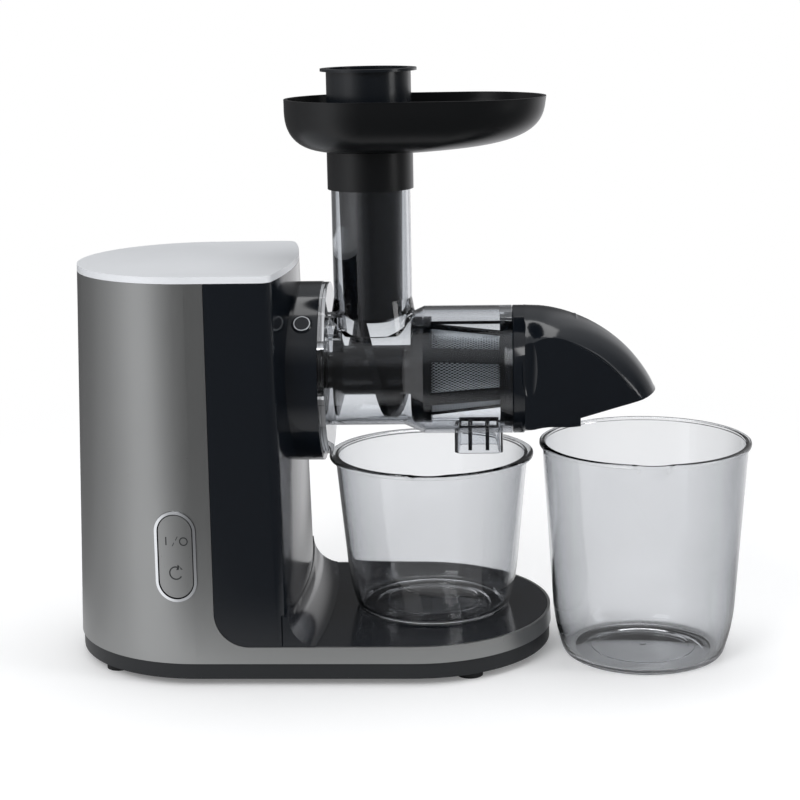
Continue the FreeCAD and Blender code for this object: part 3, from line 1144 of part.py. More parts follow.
doc.recompute()
bad = [obj.Name for obj in doc.Objects if "Invalid" in obj.State or "Error" in obj.State]
if bad:
    raise SystemExit("objects that failed: " + ", ".join(bad))
os.makedirs("parts", exist_ok=True)
failed = []
for obj in NODES:
    shape = obj.Shape
    if shape.isNull() or not shape.isValid() or not shape.Solids:
        failed.append(obj.Label)
    print("%-18s solids %d volume %9.1f box %s" % (obj.Label, len(shape.Solids), shape.Volume, " ".join(
        "%.1f" % value for value in (shape.BoundBox.XMin, shape.BoundBox.YMin, shape.BoundBox.ZMin,
                                     shape.BoundBox.XMax, shape.BoundBox.YMax, shape.BoundBox.ZMax))))
if failed:
    raise SystemExit("sub-parts with no valid shape: " + ", ".join(failed))
for obj in NODES:
    obj.Shape.exportStep("parts/%s.step" % obj.Label)
print("wrote %d sub-parts" % len(NODES))
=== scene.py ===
# %% [markdown]
# # A cold press juicer
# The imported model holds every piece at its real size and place: the tower, the clear head, the tray and the
# cups. This lesson dresses it. It gives each piece its own finish, remakes the two clear cups and the filter
# mesh finer than a solid model needs, and adds the small marks. We start by loading the model, and keep its
# box, because the dressed juicer has to stay inside it.

# %% Load the model
import math

import bmesh
import bpy
from mathutils import Matrix, Vector


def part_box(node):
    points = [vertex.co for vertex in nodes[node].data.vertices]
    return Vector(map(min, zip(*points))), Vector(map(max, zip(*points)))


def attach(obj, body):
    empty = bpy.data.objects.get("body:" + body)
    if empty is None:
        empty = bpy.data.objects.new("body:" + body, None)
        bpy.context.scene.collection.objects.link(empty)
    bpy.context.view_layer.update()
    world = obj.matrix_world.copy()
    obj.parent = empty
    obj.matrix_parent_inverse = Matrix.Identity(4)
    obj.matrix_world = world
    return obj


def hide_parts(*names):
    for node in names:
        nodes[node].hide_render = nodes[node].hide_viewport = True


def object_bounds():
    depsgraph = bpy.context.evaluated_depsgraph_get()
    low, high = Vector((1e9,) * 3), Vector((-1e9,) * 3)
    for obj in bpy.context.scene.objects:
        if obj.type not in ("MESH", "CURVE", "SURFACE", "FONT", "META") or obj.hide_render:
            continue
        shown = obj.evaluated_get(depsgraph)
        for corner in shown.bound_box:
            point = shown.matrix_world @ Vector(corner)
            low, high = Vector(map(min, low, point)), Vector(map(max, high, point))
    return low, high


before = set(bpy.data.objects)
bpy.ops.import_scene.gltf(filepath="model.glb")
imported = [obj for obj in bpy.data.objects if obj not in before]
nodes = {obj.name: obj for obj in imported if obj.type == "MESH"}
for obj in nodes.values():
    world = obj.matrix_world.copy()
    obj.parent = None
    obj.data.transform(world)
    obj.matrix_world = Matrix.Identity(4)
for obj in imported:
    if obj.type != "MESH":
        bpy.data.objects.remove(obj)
cad_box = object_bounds()
MM = 0.001
half_long = cad_box[1].x / MM
print("pieces:", len(nodes), "half length in mm: %.2f" % half_long)

# %% [markdown]
# ## Measuring from the tower's foot
# The model's origin is under the middle of the whole thing, but a maker measures a juicer from the left end
# of its base. A helper turns such places, in millimetres, into the scene's metres, so that the numbers below
# are the ones a ruler would give.


# %% Places in millimetres
def at(x, y, z):
    """A place measured from the left end of the base, in millimetres."""
    return Vector(((x - half_long) * MM, y * MM, z * MM))


AXIS_Z = 167.9          # height of the screw's axis
print("the screw's axis starts at", tuple(round(v, 4) for v in at(0, 0, AXIS_Z)))

# %% [markdown]
# ## Camera
# The photograph was taken with a long lens from a little above the table, turned slightly to the right. The
# ellipses of the two cups and the base fix that view. We could aim with a Track To constraint, but the small
# roll of the real camera is then lost, so the three axes of the camera are worked out and put in a matrix.

# %% Camera
LENS_MM = 84.18
SENSOR_MM = 36.0
CAMERA_AT = (0.0498, -1.0852, 0.3914)
PITCH = 0.2191
TURN = 0.05014
ROLL = 0.0185

ahead = Vector((-math.sin(TURN) * math.cos(PITCH), math.cos(TURN) * math.cos(PITCH), -math.sin(PITCH)))
level = Vector((math.cos(TURN), math.sin(TURN), 0.0))
upward = level.cross(ahead)
right = level * math.cos(ROLL) - upward * math.sin(ROLL)
up = upward * math.cos(ROLL) + level * math.sin(ROLL)
camera_data = bpy.data.cameras.new("studio_camera")
camera_data.lens = LENS_MM
camera_data.sensor_width = SENSOR_MM
camera = bpy.data.objects.new("studio_camera", camera_data)
bpy.context.scene.collection.objects.link(camera)
axes = Matrix((right, up, -ahead)).transposed().to_4x4()
camera.matrix_world = Matrix.Translation(CAMERA_AT) @ axes
bpy.context.scene.camera = camera
print("camera looks along", tuple(round(v, 3) for v in ahead))

# %% [markdown]
# ## Light, world and floor
# Gloss black plastic shows what stands round it more than its own colour. A plain white room would wash it
# out, so shiny surfaces see a darker room with a few brighter walls, while the camera and the light that
# passes through clear plastic see clean white. The room is a ramp of greys that runs round the horizon; a
# picture would also do, but a ramp is easier to change. Soft box lamps give the bright edges. The floor is
# pale near the juicer, where it keeps the shadow. Further out it fades to clean white for the camera, and to
# the room for shiny surfaces.

# %% Helpers for nodes
scene = bpy.context.scene
scene.view_settings.view_transform = "Standard"


def add(tree, kind, **values):
    """A node with its settings and socket values filled in."""
    node = tree.nodes.new(kind)
    for name, value in values.items():
        if name in node.inputs:
            node.inputs[name].default_value = value
        else:
            setattr(node, name, value)
    return node


def wire(tree, *pairs):
    """Links each pair of an output and an input."""
    for start, end in pairs:
        tree.links.new(start, end)


print("colours are shown as", scene.view_settings.view_transform)


# %% Helpers for the room
BLUER = 1.02            # how much bluer than neutral the room's greys are


def stops(ramp, points):
    """Fills a colour ramp with grey stops."""
    while len(ramp.elements) > 1:
        ramp.elements.remove(ramp.elements[-1])
    for index, (place, level_) in enumerate(points):
        element = ramp.elements[0] if index == 0 else ramp.elements.new(place)
        element.position = place
        element.color = (level_, level_, level_ * BLUER, 1.0)


def room_shade(tree, vector, points):
    """The room's brightness in the direction of a vector; also gives back the vector's parts."""
    parts = add(tree, "ShaderNodeSeparateXYZ")
    turn = add(tree, "ShaderNodeMath", operation="ARCTAN2")
    share = add(tree, "ShaderNodeMapRange")
    share.inputs["From Min"].default_value = -math.pi
    share.inputs["From Max"].default_value = math.pi
    room = add(tree, "ShaderNodeValToRGB")
    room.color_ramp.interpolation = "EASE"
    stops(room.color_ramp, points)
    wire(tree,
         (vector, parts.inputs["Vector"]), (parts.outputs["Y"], turn.inputs[0]),
         (parts.outputs["X"], turn.inputs[1]), (turn.outputs[0], share.inputs["Value"]),
         (share.outputs[0], room.inputs["Fac"]))
    return room.outputs["Color"], parts


def straight_look(tree):
    """1 for what the camera sees straight or through clear plastic; also gives back the shiny rays."""
    ray = add(tree, "ShaderNodeLightPath")
    seen = add(tree, "ShaderNodeMath", operation="MAXIMUM")
    direct = add(tree, "ShaderNodeMath", operation="SUBTRACT", use_clamp=True)
    wire(tree,
         (ray.outputs["Is Camera Ray"], seen.inputs[0]),
         (ray.outputs["Is Transmission Ray"], seen.inputs[1]),
         (seen.outputs[0], direct.inputs[0]), (ray.outputs["Glossy Depth"], direct.inputs[1]))
    return direct.outputs[0], ray.outputs["Is Glossy Ray"]


print("the room's greys are %.0f%% bluer than neutral" % (100 * (BLUER - 1)))

# %% World
WORLD_FILL = 0.55       # light from all round
ROOM_STOPS = [          # turn round the room as a share, brightness there
    (0.00, 0.50), (0.05, 0.74), (0.085, 1.00), (0.12, 1.00), (0.155, 0.46), (0.20, 0.16), (0.25, 0.09),
    (0.31, 0.12), (0.42, 0.12), (0.52, 0.15), (0.61, 0.50), (0.66, 1.00), (0.69, 0.80), (0.735, 0.14),
    (0.78, 0.09), (0.84, 0.14), (0.93, 0.28), (1.00, 0.50),
]
CEILING = (0.80, 0.82, 0.85, 1.0)
CEILING_FROM, CEILING_TO = 0.3, 0.95    # heights, as shares of straight up, where the walls turn into it
CEILING_SHARE = 0.85
PURE_WHITE = (1.0, 1.0, 1.0, 1.0)

world = bpy.data.worlds.new("studio")
scene.world = world
world.use_nodes = True
tree = world.node_tree
tree.nodes.clear()
places = add(tree, "ShaderNodeTexCoord")
room, parts = room_shade(tree, places.outputs["Generated"], ROOM_STOPS)
direct, glossy = straight_look(tree)
lift = add(tree, "ShaderNodeMapRange")
lift.inputs["From Min"].default_value = CEILING_FROM
lift.inputs["From Max"].default_value = CEILING_TO
lift.inputs["To Max"].default_value = CEILING_SHARE
high = add(tree, "ShaderNodeMixRGB", blend_type="MIX")
high.inputs["Color2"].default_value = CEILING
shiny = add(tree, "ShaderNodeBackground")
clean = add(tree, "ShaderNodeBackground", Color=PURE_WHITE, Strength=1.0)
fill = add(tree, "ShaderNodeBackground", Color=PURE_WHITE, Strength=WORLD_FILL)
pick_shiny = add(tree, "ShaderNodeMixShader")
pick_clean = add(tree, "ShaderNodeMixShader")
out = add(tree, "ShaderNodeOutputWorld")
wire(tree,
     (parts.outputs["Z"], lift.inputs["Value"]), (lift.outputs[0], high.inputs["Fac"]),
     (room, high.inputs["Color1"]), (high.outputs["Color"], shiny.inputs["Color"]),
     (glossy, pick_shiny.inputs["Fac"]),
     (fill.outputs[0], pick_shiny.inputs[1]), (shiny.outputs[0], pick_shiny.inputs[2]),
     (direct, pick_clean.inputs["Fac"]),
     (pick_shiny.outputs[0], pick_clean.inputs[1]), (clean.outputs[0], pick_clean.inputs[2]),
     (pick_clean.outputs[0], out.inputs["Surface"]))
print("room has", len(ROOM_STOPS), "stops round it")


# %% Lamps
MIDDLE = (0.0, 0.0, 0.16)
BOXES = [       # name, place, width, height, watts, how strongly it shows in shiny surfaces
    ("key_box", (-0.75, -1.25, 1.15), 0.7, 0.9, 11.0, 0.15),
    ("side_box", (1.45, -0.55, 0.75), 0.45, 1.1, 6.0, 1.0),
    ("top_box", (0.05, 0.25, 1.55), 1.1, 0.8, 8.0, 0.4),
]
for name, place, wide, tall, watts, shown in BOXES:
    lamp = bpy.data.lights.new(name, "AREA")
    lamp.shape = "RECTANGLE"
    lamp.size = wide
    lamp.size_y = tall
    lamp.energy = watts
    lamp.specular_factor = shown
    obj = bpy.data.objects.new(name, lamp)
    scene.collection.objects.link(obj)
    obj.location = place
    obj.rotation_euler = (Vector(MIDDLE) - Vector(place)).to_track_quat("-Z", "Y").to_euler()
print("lamps:", [lamp.name for lamp in bpy.data.lights])

# %% Floor
FLOOR_WIDE = 8.0                        # metres
FLOOR_COLOUR = (0.90, 0.905, 0.915, 1.0)
bpy.ops.mesh.primitive_plane_add(size=FLOOR_WIDE, location=(0.0, 0.0, 0.0))
floor = bpy.context.object
floor.name = "studio_floor"
paint = bpy.data.materials.new("floor_paint")
paint.use_nodes = True
tree = paint.node_tree
body = tree.nodes["Principled BSDF"]
body.inputs["Base Color"].default_value = FLOOR_COLOUR
body.inputs["Roughness"].default_value = 0.7
body.inputs["Specular IOR Level"].default_value = 0.1
floor.data.materials.append(paint)
print("floor is %.0f m wide" % floor.dimensions.x)

# %% What each ray sees of the floor
FLOOR_LIFT = 0.16                       # added to the floor for the camera
WHITE_FROM, WHITE_TO = 0.34, 0.80       # metres from the middle where the seen floor turns to clean white
ROOM_FROM, ROOM_TO = 0.08, 0.32         # metres where shiny surfaces see the room in place of the floor
FLOOR_STOPS = [         # as for the world, but bright behind the tower
    (0.00, 0.50), (0.05, 0.74), (0.085, 1.00), (0.12, 1.00), (0.155, 0.46), (0.20, 0.16), (0.25, 0.09),
    (0.31, 0.12), (0.42, 0.14), (0.52, 0.25), (0.60, 0.80), (0.64, 1.00), (0.74, 1.00), (0.78, 0.30),
    (0.84, 0.12), (0.93, 0.26), (1.00, 0.50),
]


def fade(tree, distance, start, end):
    """Rises softly from 0 to 1 between two distances."""
    ramp = add(tree, "ShaderNodeMapRange", interpolation_type="SMOOTHSTEP")
    ramp.inputs["From Min"].default_value = start
    ramp.inputs["From Max"].default_value = end
    wire(tree, (distance, ramp.inputs["Value"]))
    return ramp.outputs[0]


spots = add(tree, "ShaderNodeTexCoord")
away = add(tree, "ShaderNodeVectorMath", operation="LENGTH")
wire(tree, (spots.outputs["Object"], away.inputs[0]))
far_white = fade(tree, away.outputs["Value"], WHITE_FROM, WHITE_TO)
far_room = fade(tree, away.outputs["Value"], ROOM_FROM, ROOM_TO)
room = room_shade(tree, spots.outputs["Object"], FLOOR_STOPS)[0]
direct, glossy = straight_look(tree)
strength = add(tree, "ShaderNodeMath", operation="MULTIPLY")
strength.inputs[1].default_value = FLOOR_LIFT
glow = add(tree, "ShaderNodeEmission", Color=PURE_WHITE)
both = add(tree, "ShaderNodeAddShader")
white = add(tree, "ShaderNodeEmission", Color=PURE_WHITE, Strength=1.0)
walls = add(tree, "ShaderNodeEmission", Strength=1.0)
use_white = add(tree, "ShaderNodeMath", operation="MULTIPLY")
only_shiny = add(tree, "ShaderNodeMath", operation="SUBTRACT", use_clamp=True)
use_room = add(tree, "ShaderNodeMath", operation="MULTIPLY")
mix_white = add(tree, "ShaderNodeMixShader")
mix_room = add(tree, "ShaderNodeMixShader")
wire(tree,
     (direct, strength.inputs[0]), (strength.outputs[0], glow.inputs["Strength"]),
     (body.outputs[0], both.inputs[0]), (glow.outputs[0], both.inputs[1]),
     (direct, use_white.inputs[0]), (far_white, use_white.inputs[1]),
     (glossy, only_shiny.inputs[0]), (direct, only_shiny.inputs[1]),
     (only_shiny.outputs[0], use_room.inputs[0]), (far_room, use_room.inputs[1]),
     (room, walls.inputs["Color"]),
     (use_white.outputs[0], mix_white.inputs["Fac"]), (both.outputs[0], mix_white.inputs[1]),
     (white.outputs[0], mix_white.inputs[2]),
     (use_room.outputs[0], mix_room.inputs["Fac"]), (mix_white.outputs[0], mix_room.inputs[1]),
     (walls.outputs[0], mix_room.inputs[2]),
     (mix_room.outputs[0], tree.nodes["Material Output"].inputs["Surface"]))
print("the seen floor is clean white from %.2f m on" % WHITE_TO)

# %% [markdown]
# ## Finishes
# Most pieces are moulded plastic or lacquered sheet. One recipe covers them: a colour that drifts a little,
# a roughness that drifts too, and a bump of the right grain. Numbers that are the same all over sit on the
# shader's own sockets. The grain of brushed metal is the same noise, drawn out along one direction.


# %% The recipe for a solid finish
CLOUD_SCALE = 14.0      # how often the colour drifts over a metre
ROUGH_DRIFT = 0.05      # how far the roughness drifts to each side
WHOLE = (1.0, 1.0, 1.0)


def finish(name, colour, rough, metal=0.0, grain=900.0, depth=0.02, drift=0.06, stretch=WHOLE, shine=0.5):
    """A moulded, lacquered or metal surface; depth is the height of the grain in millimetres."""
    material = bpy.data.materials.new(name)
    material.use_nodes = True
    tree = material.node_tree
    shader = tree.nodes["Principled BSDF"]
    shader.inputs["Metallic"].default_value = metal
    shader.inputs["Specular IOR Level"].default_value = shine
    spots = add(tree, "ShaderNodeTexCoord")
    stretched = add(tree, "ShaderNodeMapping")
    stretched.inputs["Scale"].default_value = stretch
    cloud = add(tree, "ShaderNodeTexNoise", Scale=CLOUD_SCALE, Detail=3.0)
    fine = add(tree, "ShaderNodeTexNoise", Scale=grain, Detail=4.0)
    tone = add(tree, "ShaderNodeMixRGB", blend_type="MIX")
    tone.inputs["Color1"].default_value = (*[c * (1 - drift) for c in colour], 1.0)
    tone.inputs["Color2"].default_value = (*[min(1.0, c * (1 + drift)) for c in colour], 1.0)
    gloss = add(tree, "ShaderNodeMapRange")
    gloss.inputs["To Min"].default_value = max(0.0, rough - ROUGH_DRIFT)
    gloss.inputs["To Max"].default_value = rough + ROUGH_DRIFT
    bump = add(tree, "ShaderNodeBump", Strength=0.6, Distance=depth * MM)
    wire(tree,
         (spots.outputs["Object"], stretched.inputs["Vector"]),
         (spots.outputs["Object"], cloud.inputs["Vector"]),
         (stretched.outputs["Vector"], fine.inputs["Vector"]), (cloud.outputs["Fac"], tone.inputs["Fac"]),
         (tone.outputs["Color"], shader.inputs["Base Color"]), (fine.outputs["Fac"], gloss.inputs["Value"]),
         (gloss.outputs[0], shader.inputs["Roughness"]), (fine.outputs["Fac"], bump.inputs["Height"]),
         (bump.outputs["Normal"], shader.inputs["Normal"]))
    return material


BRUSHED_UPRIGHT = (1.0, 1.0, 0.04)
BRUSHED_DEEP = (1.0, 0.04, 1.0)
wrap_metal = finish("wrap_metal", (0.330, 0.335, 0.332), 0.30, metal=0.95, grain=1500.0, depth=0.006,
                    stretch=BRUSHED_UPRIGHT)
top_silver = finish("top_silver", (0.79, 0.81, 0.84), 0.34, metal=0.15, grain=1400.0, depth=0.008,
                    stretch=BRUSHED_DEEP)
gloss_black = finish("gloss_black", (0.0050, 0.0068, 0.0098), 0.12, grain=60.0, depth=0.01, shine=0.45)
base_black = finish("base_black", (0.012, 0.0135, 0.0155), 0.42, grain=2200.0, depth=0.03, shine=0.35)
tray_black = finish("tray_black", (0.0030, 0.0035, 0.0042), 0.30, grain=1800.0, depth=0.012, shine=0.38)
pusher_black = finish("pusher_black", (0.0060, 0.0080, 0.0110), 0.22, grain=700.0, depth=0.01, shine=0.45)
screw_black = finish("screw_black", (0.0048, 0.0065, 0.0090), 0.20, grain=400.0, depth=0.01, shine=0.45)
foot_rubber = finish("foot_rubber", (0.018, 0.018, 0.019), 0.75, grain=1600.0, depth=0.05, shine=0.25)
chrome = finish("ring_chrome", (0.80, 0.82, 0.84), 0.09, metal=1.0, grain=500.0, depth=0.002, drift=0.02)
steel = finish("plain_steel", (0.52, 0.52, 0.53), 0.30, metal=1.0, grain=1300.0, depth=0.01,
               stretch=(0.05, 1.0, 1.0))
mesh_steel = finish("mesh_steel", (0.62, 0.66, 0.70), 0.40, metal=0.4, grain=1200.0, depth=0.01)
bronze = finish("bush_bronze", (0.52, 0.34, 0.14), 0.38, metal=1.0, grain=900.0, depth=0.02)
iron = finish("core_iron", (0.17, 0.17, 0.18), 0.5, metal=0.8, grain=3000.0, depth=0.05,
              stretch=(1.0, 0.05, 0.05))
nylon = finish("gear_nylon", (0.70, 0.68, 0.60), 0.42, grain=700.0, depth=0.02)
laminate = finish("board_green", (0.02, 0.11, 0.05), 0.35, grain=1500.0, depth=0.02)
silicone = finish("seal_silicone", (0.10, 0.10, 0.105), 0.6, grain=900.0, depth=0.03, shine=0.3)
light_mark = finish("light_mark", (0.55, 0.57, 0.60), 0.4, grain=900.0, depth=0.005)
dark_mark = finish("dark_mark", (0.020, 0.021, 0.023), 0.5, grain=900.0, depth=0.005)
print("finishes, with the floor's paint:", len(bpy.data.materials))


# %% [markdown]
# ## Clear plastic
# The head and the cups are clear plastic with a smoky tint. A wall a couple of millimetres thick bends light
# at both faces, so its edges look darker than its middle. The real way is glass with absorption, but thin
# walls then stay too pale, so the tint deepens with Layer Weight, which knows how steeply we look.

# %% The recipe for a clear finish
BENDS_LIGHT = 1.46      # refractive index
DEEPENING = 0.28        # how soon the tint turns to that of the edge
RIPPLE_SCALE, RIPPLE_MM = 35.0, 0.05


def clear(name, face, edge):
    """Clear plastic: face is the tint seen straight through a wall, edge the tint at a grazing look."""
    material = bpy.data.materials.new(name)
    material.use_nodes = True
    tree = material.node_tree
    shader = tree.nodes["Principled BSDF"]
    shader.inputs["Roughness"].default_value = 0.02
    shader.inputs["IOR"].default_value = BENDS_LIGHT
    shader.inputs["Transmission Weight"].default_value = 1.0
    slope = add(tree, "ShaderNodeLayerWeight", Blend=DEEPENING)
    tone = add(tree, "ShaderNodeMixRGB", blend_type="MIX")
    tone.inputs["Color1"].default_value = (*face, 1.0)
    tone.inputs["Color2"].default_value = (*edge, 1.0)
    spots = add(tree, "ShaderNodeTexCoord")
    ripple = add(tree, "ShaderNodeTexNoise", Scale=RIPPLE_SCALE, Detail=1.0)
    bump = add(tree, "ShaderNodeBump", Strength=0.25, Distance=RIPPLE_MM * MM)
    wire(tree,
         (slope.outputs["Facing"], tone.inputs["Fac"]), (tone.outputs["Color"], shader.inputs["Base Color"]),
         (spots.outputs["Object"], ripple.inputs["Vector"]), (ripple.outputs["Fac"], bump.inputs["Height"]),
         (bump.outputs["Normal"], shader.inputs["Normal"]))
    return material


cup_clear = clear("cup_clear", face=(0.875, 0.882, 0.895), edge=(0.26, 0.28, 0.30))
smoke_clear = clear("smoke_clear", face=(0.86, 0.875, 0.895), edge=(0.16, 0.18, 0.21))
print("clear finishes:", cup_clear.name, smoke_clear.name)

# %% [markdown]
# ## Giving each piece its finish
# Every piece of the model has a slot for its material. We fill the slot, shade the mesh smoothly where its
# faces meet at a shallow angle, and round the sharp edges of the large mouldings a little with a bevel, since
# no moulded edge is knife sharp and a rounded one catches a thin line of light.

# %% Tools for meshes
SMOOTH_BELOW = math.radians(32)


def smooth(mesh):
    """Smooth shading that keeps edges steeper than the limit sharp."""
    mesh.polygons.foreach_set("use_smooth", [True] * len(mesh.polygons))
    mesh.set_sharp_from_angle(angle=SMOOTH_BELOW)


def rounded(piece, width):
    """A narrow bevel, in millimetres, along a piece's sharp edges."""
    rounding = piece.modifiers.new("edge_rounding", "BEVEL")
    rounding.width = width * MM
    rounding.segments = 2
    rounding.limit_method = "ANGLE"
    rounding.angle_limit = SMOOTH_BELOW


def linked(name, mesh, outward=True):
    """A new object from a bmesh, with its faces turned outward unless told not to."""
    if outward:
        bmesh.ops.recalc_face_normals(mesh, faces=mesh.faces)
    data = bpy.data.meshes.new(name)
    mesh.to_mesh(data)
    mesh.free()
    piece = bpy.data.objects.new(name, data)
    scene.collection.objects.link(piece)
    return piece


def apply_all(piece):
    """Turns a piece's modifiers into plain mesh."""
    bpy.context.view_layer.objects.active = piece
    for modifier in list(piece.modifiers):
        with bpy.context.temp_override(object=piece, active_object=piece):
            bpy.ops.object.modifier_apply(modifier=modifier.name)


print("edges stay sharp above", round(math.degrees(SMOOTH_BELOW)), "degrees")

# %% Finish of each piece
FINISH_OF = {
    wrap_metal: ["wrap_panel", "switch_rocker"],
    gloss_black: ["front_housing", "drive_collar", "end_cap", "release_button"],
    top_silver: ["top_cover"],
    base_black: ["base_pan", "switch_body", "gearbox_case", "gearbox_cover", "motor_cradle", "board_posts",
                 "cord_gland", "cooling_fan"],
    tray_black: ["hopper_tray"],
    pusher_black: ["pusher"],
    screw_black: ["auger", "strainer_frame", "spout_grille"],
    foot_rubber: ["feet"],
    chrome: ["switch_bezel"],
    steel: ["foot_screws", "gear_axle_pin", "motor_can", "output_shaft", "motor_shaft", "motor_pinion"],
    bronze: ["output_bushes", "motor_bearings"],
    iron: ["stator_core", "rotor_core"],
    nylon: ["output_gear", "intermediate_gear"],
    laminate: ["control_board"],
    silicone: ["shaft_seal", "drum_seal"],
    smoke_clear: ["juicing_drum"],
    cup_clear: ["juice_cup", "pulp_cup"],
    mesh_steel: ["strainer_mesh"],
}
ROUNDED = {"wrap_panel": 0.35, "front_housing": 0.45, "top_cover": 0.5, "base_pan": 0.5, "drive_collar": 0.6,
           "hopper_tray": 0.5, "pusher": 0.4, "switch_bezel": 0.4, "switch_rocker": 0.35,
           "release_button": 0.3, "strainer_frame": 0.3}

for material, names in FINISH_OF.items():
    for name in names:
        piece = nodes[name]
        piece.data.materials.clear()
        piece.data.materials.append(material)
        smooth(piece.data)
for name, width in ROUNDED.items():
    rounded(nodes[name], width)
named = {name for names in FINISH_OF.values() for name in names}
print("pieces with no finish:", sorted(set(nodes) - named))


# %% [markdown]
# ## The two cups
# A cup is a turned form, so a lathe function draws it: a list of radii and heights, carried round in small
# steps. The pouring dimple at the front is where a ball pushes the wall outwards: at each point of the wall
# we take whichever is further out, the wall or the ball. A Screw modifier would turn the wall too, but it
# couldn't press the ball in.

# %% The lathe
FRONT_TURN = 270.0                      # degrees; the side that faces the camera
FINE_STEP, FINE_STEPS = 0.9, 22         # degrees, and steps to each side of the dimple's middle
COARSE_STEP, COARSE_STEPS = 3.2, 99     # the rest of the way round
FINE_TURNS = [FRONT_TURN + FINE_STEP * i for i in range(-FINE_STEPS, FINE_STEPS + 1)]
COARSE_TURNS = [FINE_TURNS[-1] + COARSE_STEP * i for i in range(1, COARSE_STEPS + 1)]
CUP_TURNS = FINE_TURNS + COARSE_TURNS


def lathe(name, rings, centre, shape, turns):
    """Turns a closed list of (radius, height) round the centre; shape may move each point."""
    mesh = bmesh.new()
    columns = []
    for degrees in turns:
        angle = math.radians(degrees)
        column = []
        for ring in rings:
            radius, height = shape(*ring, angle)
            spot = Vector((radius * math.cos(angle), radius * math.sin(angle), height))
            column.append(mesh.verts.new(centre + spot * MM))
        columns.append(column)
    count = len(rings)
    for i, column in enumerate(columns):
        after = columns[(i + 1) % len(columns)]
        for j in range(count):
            k = (j + 1) % count
            mesh.faces.new([column[j], after[j], after[k], column[k]])
    bmesh.ops.remove_doubles(mesh, verts=mesh.verts, dist=1e-6)
    bmesh.ops.dissolve_degenerate(mesh, dist=1e-7, edges=mesh.edges)
    piece = linked(name, mesh)
    smooth(piece.data)
    return piece


print("steps round a cup:", len(CUP_TURNS))

# %% A cup with its lip, foot and dimple
CUP_WALL = 1.8
CUP_FLOOR = 2.2
LIP_TALL = 2.2
WALL_STEPS = 24
FOOT_HOLLOW = 0.6                       # how far the underside is hollowed
FOOT_INNER, FOOT_OUTER = 5.0, 4.0       # how far in from the foot's edge the hollow ends and the cup stands
BALL_RADIUS, BALL_UP, BALL_OUT = 21.0, 2.5, 2.9
DIMPLE_TALL = 18.0
FOOT_CURVE = [          # from the foot to the wall: share of the height, share of the spread
    (0.0, 0.0), (0.012, 0.13), (0.035, 0.25), (0.08, 0.345), (0.15, 0.435), (0.24, 0.52), (0.38, 0.645),
    (0.56, 0.79), (0.78, 0.91),
]
LIP_EDGE = [            # how far in from the rim, how far down from the top
    (0.7, LIP_TALL), (0.2, LIP_TALL - 0.25), (0.0, LIP_TALL - 0.8), (0.0, 0.8), (0.2, 0.25), (0.7, 0.0),
]
FLOOR_RINGS = [         # radius, height above the floor, from a low ring to the pip in the middle
    (31.2, 0.0), (31.0, 0.5), (27.3, 0.5), (27.0, 0.0), (1.9, 0.0), (1.5, 0.35), (0.0, 0.4),
]


def cup(name, centre, top, rim, wall_r, mid_r, mid_up, foot_r):
    """One cup; centre is the middle of its foot and top its height above that."""
    def wall_radius(height):
        return mid_r + (wall_r - mid_r) * (height - mid_up) / (top - mid_up)

    curve = [(foot_r + out_ * (mid_r - foot_r), up_ * mid_up) for up_, out_ in FOOT_CURVE]
    wall = []
    for i in range(WALL_STEPS + 1):
        share_ = i / WALL_STEPS
        wall.append((mid_r + (wall_r - mid_r) * share_, mid_up + (top - LIP_TALL - mid_up) * share_))
    lip = [(rim - in_, top - down) for in_, down in LIP_EDGE]
    lip += [(wall_r - CUP_WALL + 0.5, top), (wall_r - CUP_WALL, top - 0.4)]
    inner_wall = [(r - CUP_WALL, z) for r, z in reversed(wall)]
    inner_curve = [(r - CUP_WALL, z + CUP_FLOOR * (1 - z / mid_up)) for r, z in reversed(curve)]
    inner_floor = [(r, CUP_FLOOR + z) for r, z in FLOOR_RINGS]
    under = [(0.0, FOOT_HOLLOW), (foot_r - FOOT_INNER, FOOT_HOLLOW), (foot_r - FOOT_OUTER, 0.0)]
    rings = under + curve + wall + lip + inner_wall + inner_curve + inner_floor
    reach = wall_r - BALL_RADIUS + BALL_OUT

    def pressed(radius, height, angle):
        turned = angle - math.radians(FRONT_TURN)
        inside = radius < wall_r - CUP_WALL + 0.6 and radius < wall_radius(height) - CUP_WALL / 2
        ball = BALL_RADIUS - (CUP_WALL if inside else 0.0)
        room_ = ball ** 2 - (height - top - BALL_UP) ** 2 - (reach * math.sin(turned)) ** 2
        if room_ <= 0 or height < top - DIMPLE_TALL or math.cos(turned) < 0:
            return radius, height
        return max(radius, reach * math.cos(turned) + math.sqrt(room_)), height

    return lathe(name, rings, centre, pressed, CUP_TURNS)


JUICE_AT = at(214.4, 0.0, 23.75)
PULP_AT = at(340.0, -17.6, 0.0)
juice_cup = cup("juice_cup_form", JUICE_AT, top=94.25, rim=60.9, wall_r=57.3, mid_r=51.5, mid_up=29.0,
                foot_r=43.5)
pulp_cup = cup("pulp_cup_form", PULP_AT, top=128.5, rim=61.7, wall_r=60.0, mid_r=53.5, mid_up=28.9,
               foot_r=44.7)
for piece, name in ((juice_cup, "juice_cup"), (pulp_cup, "pulp_cup")):
    piece.data.materials.append(cup_clear)
    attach(piece, name)
    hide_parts(name)
    print(piece.name, "has", len(piece.data.polygons), "faces")

# %% [markdown]
# ## The end cap
# The cap's solid has nearly the right outline. Three finer things are cut or added on a copy of it: a shallow
# scoop on each side where the fingers twist it, a higher lower edge behind the bowl of the beak, and the
# narrow rounded shoulder that runs down each side of the hood and catches the light. The cuts are Boolean
# modifiers with plain cutters, which are deleted once they are applied.


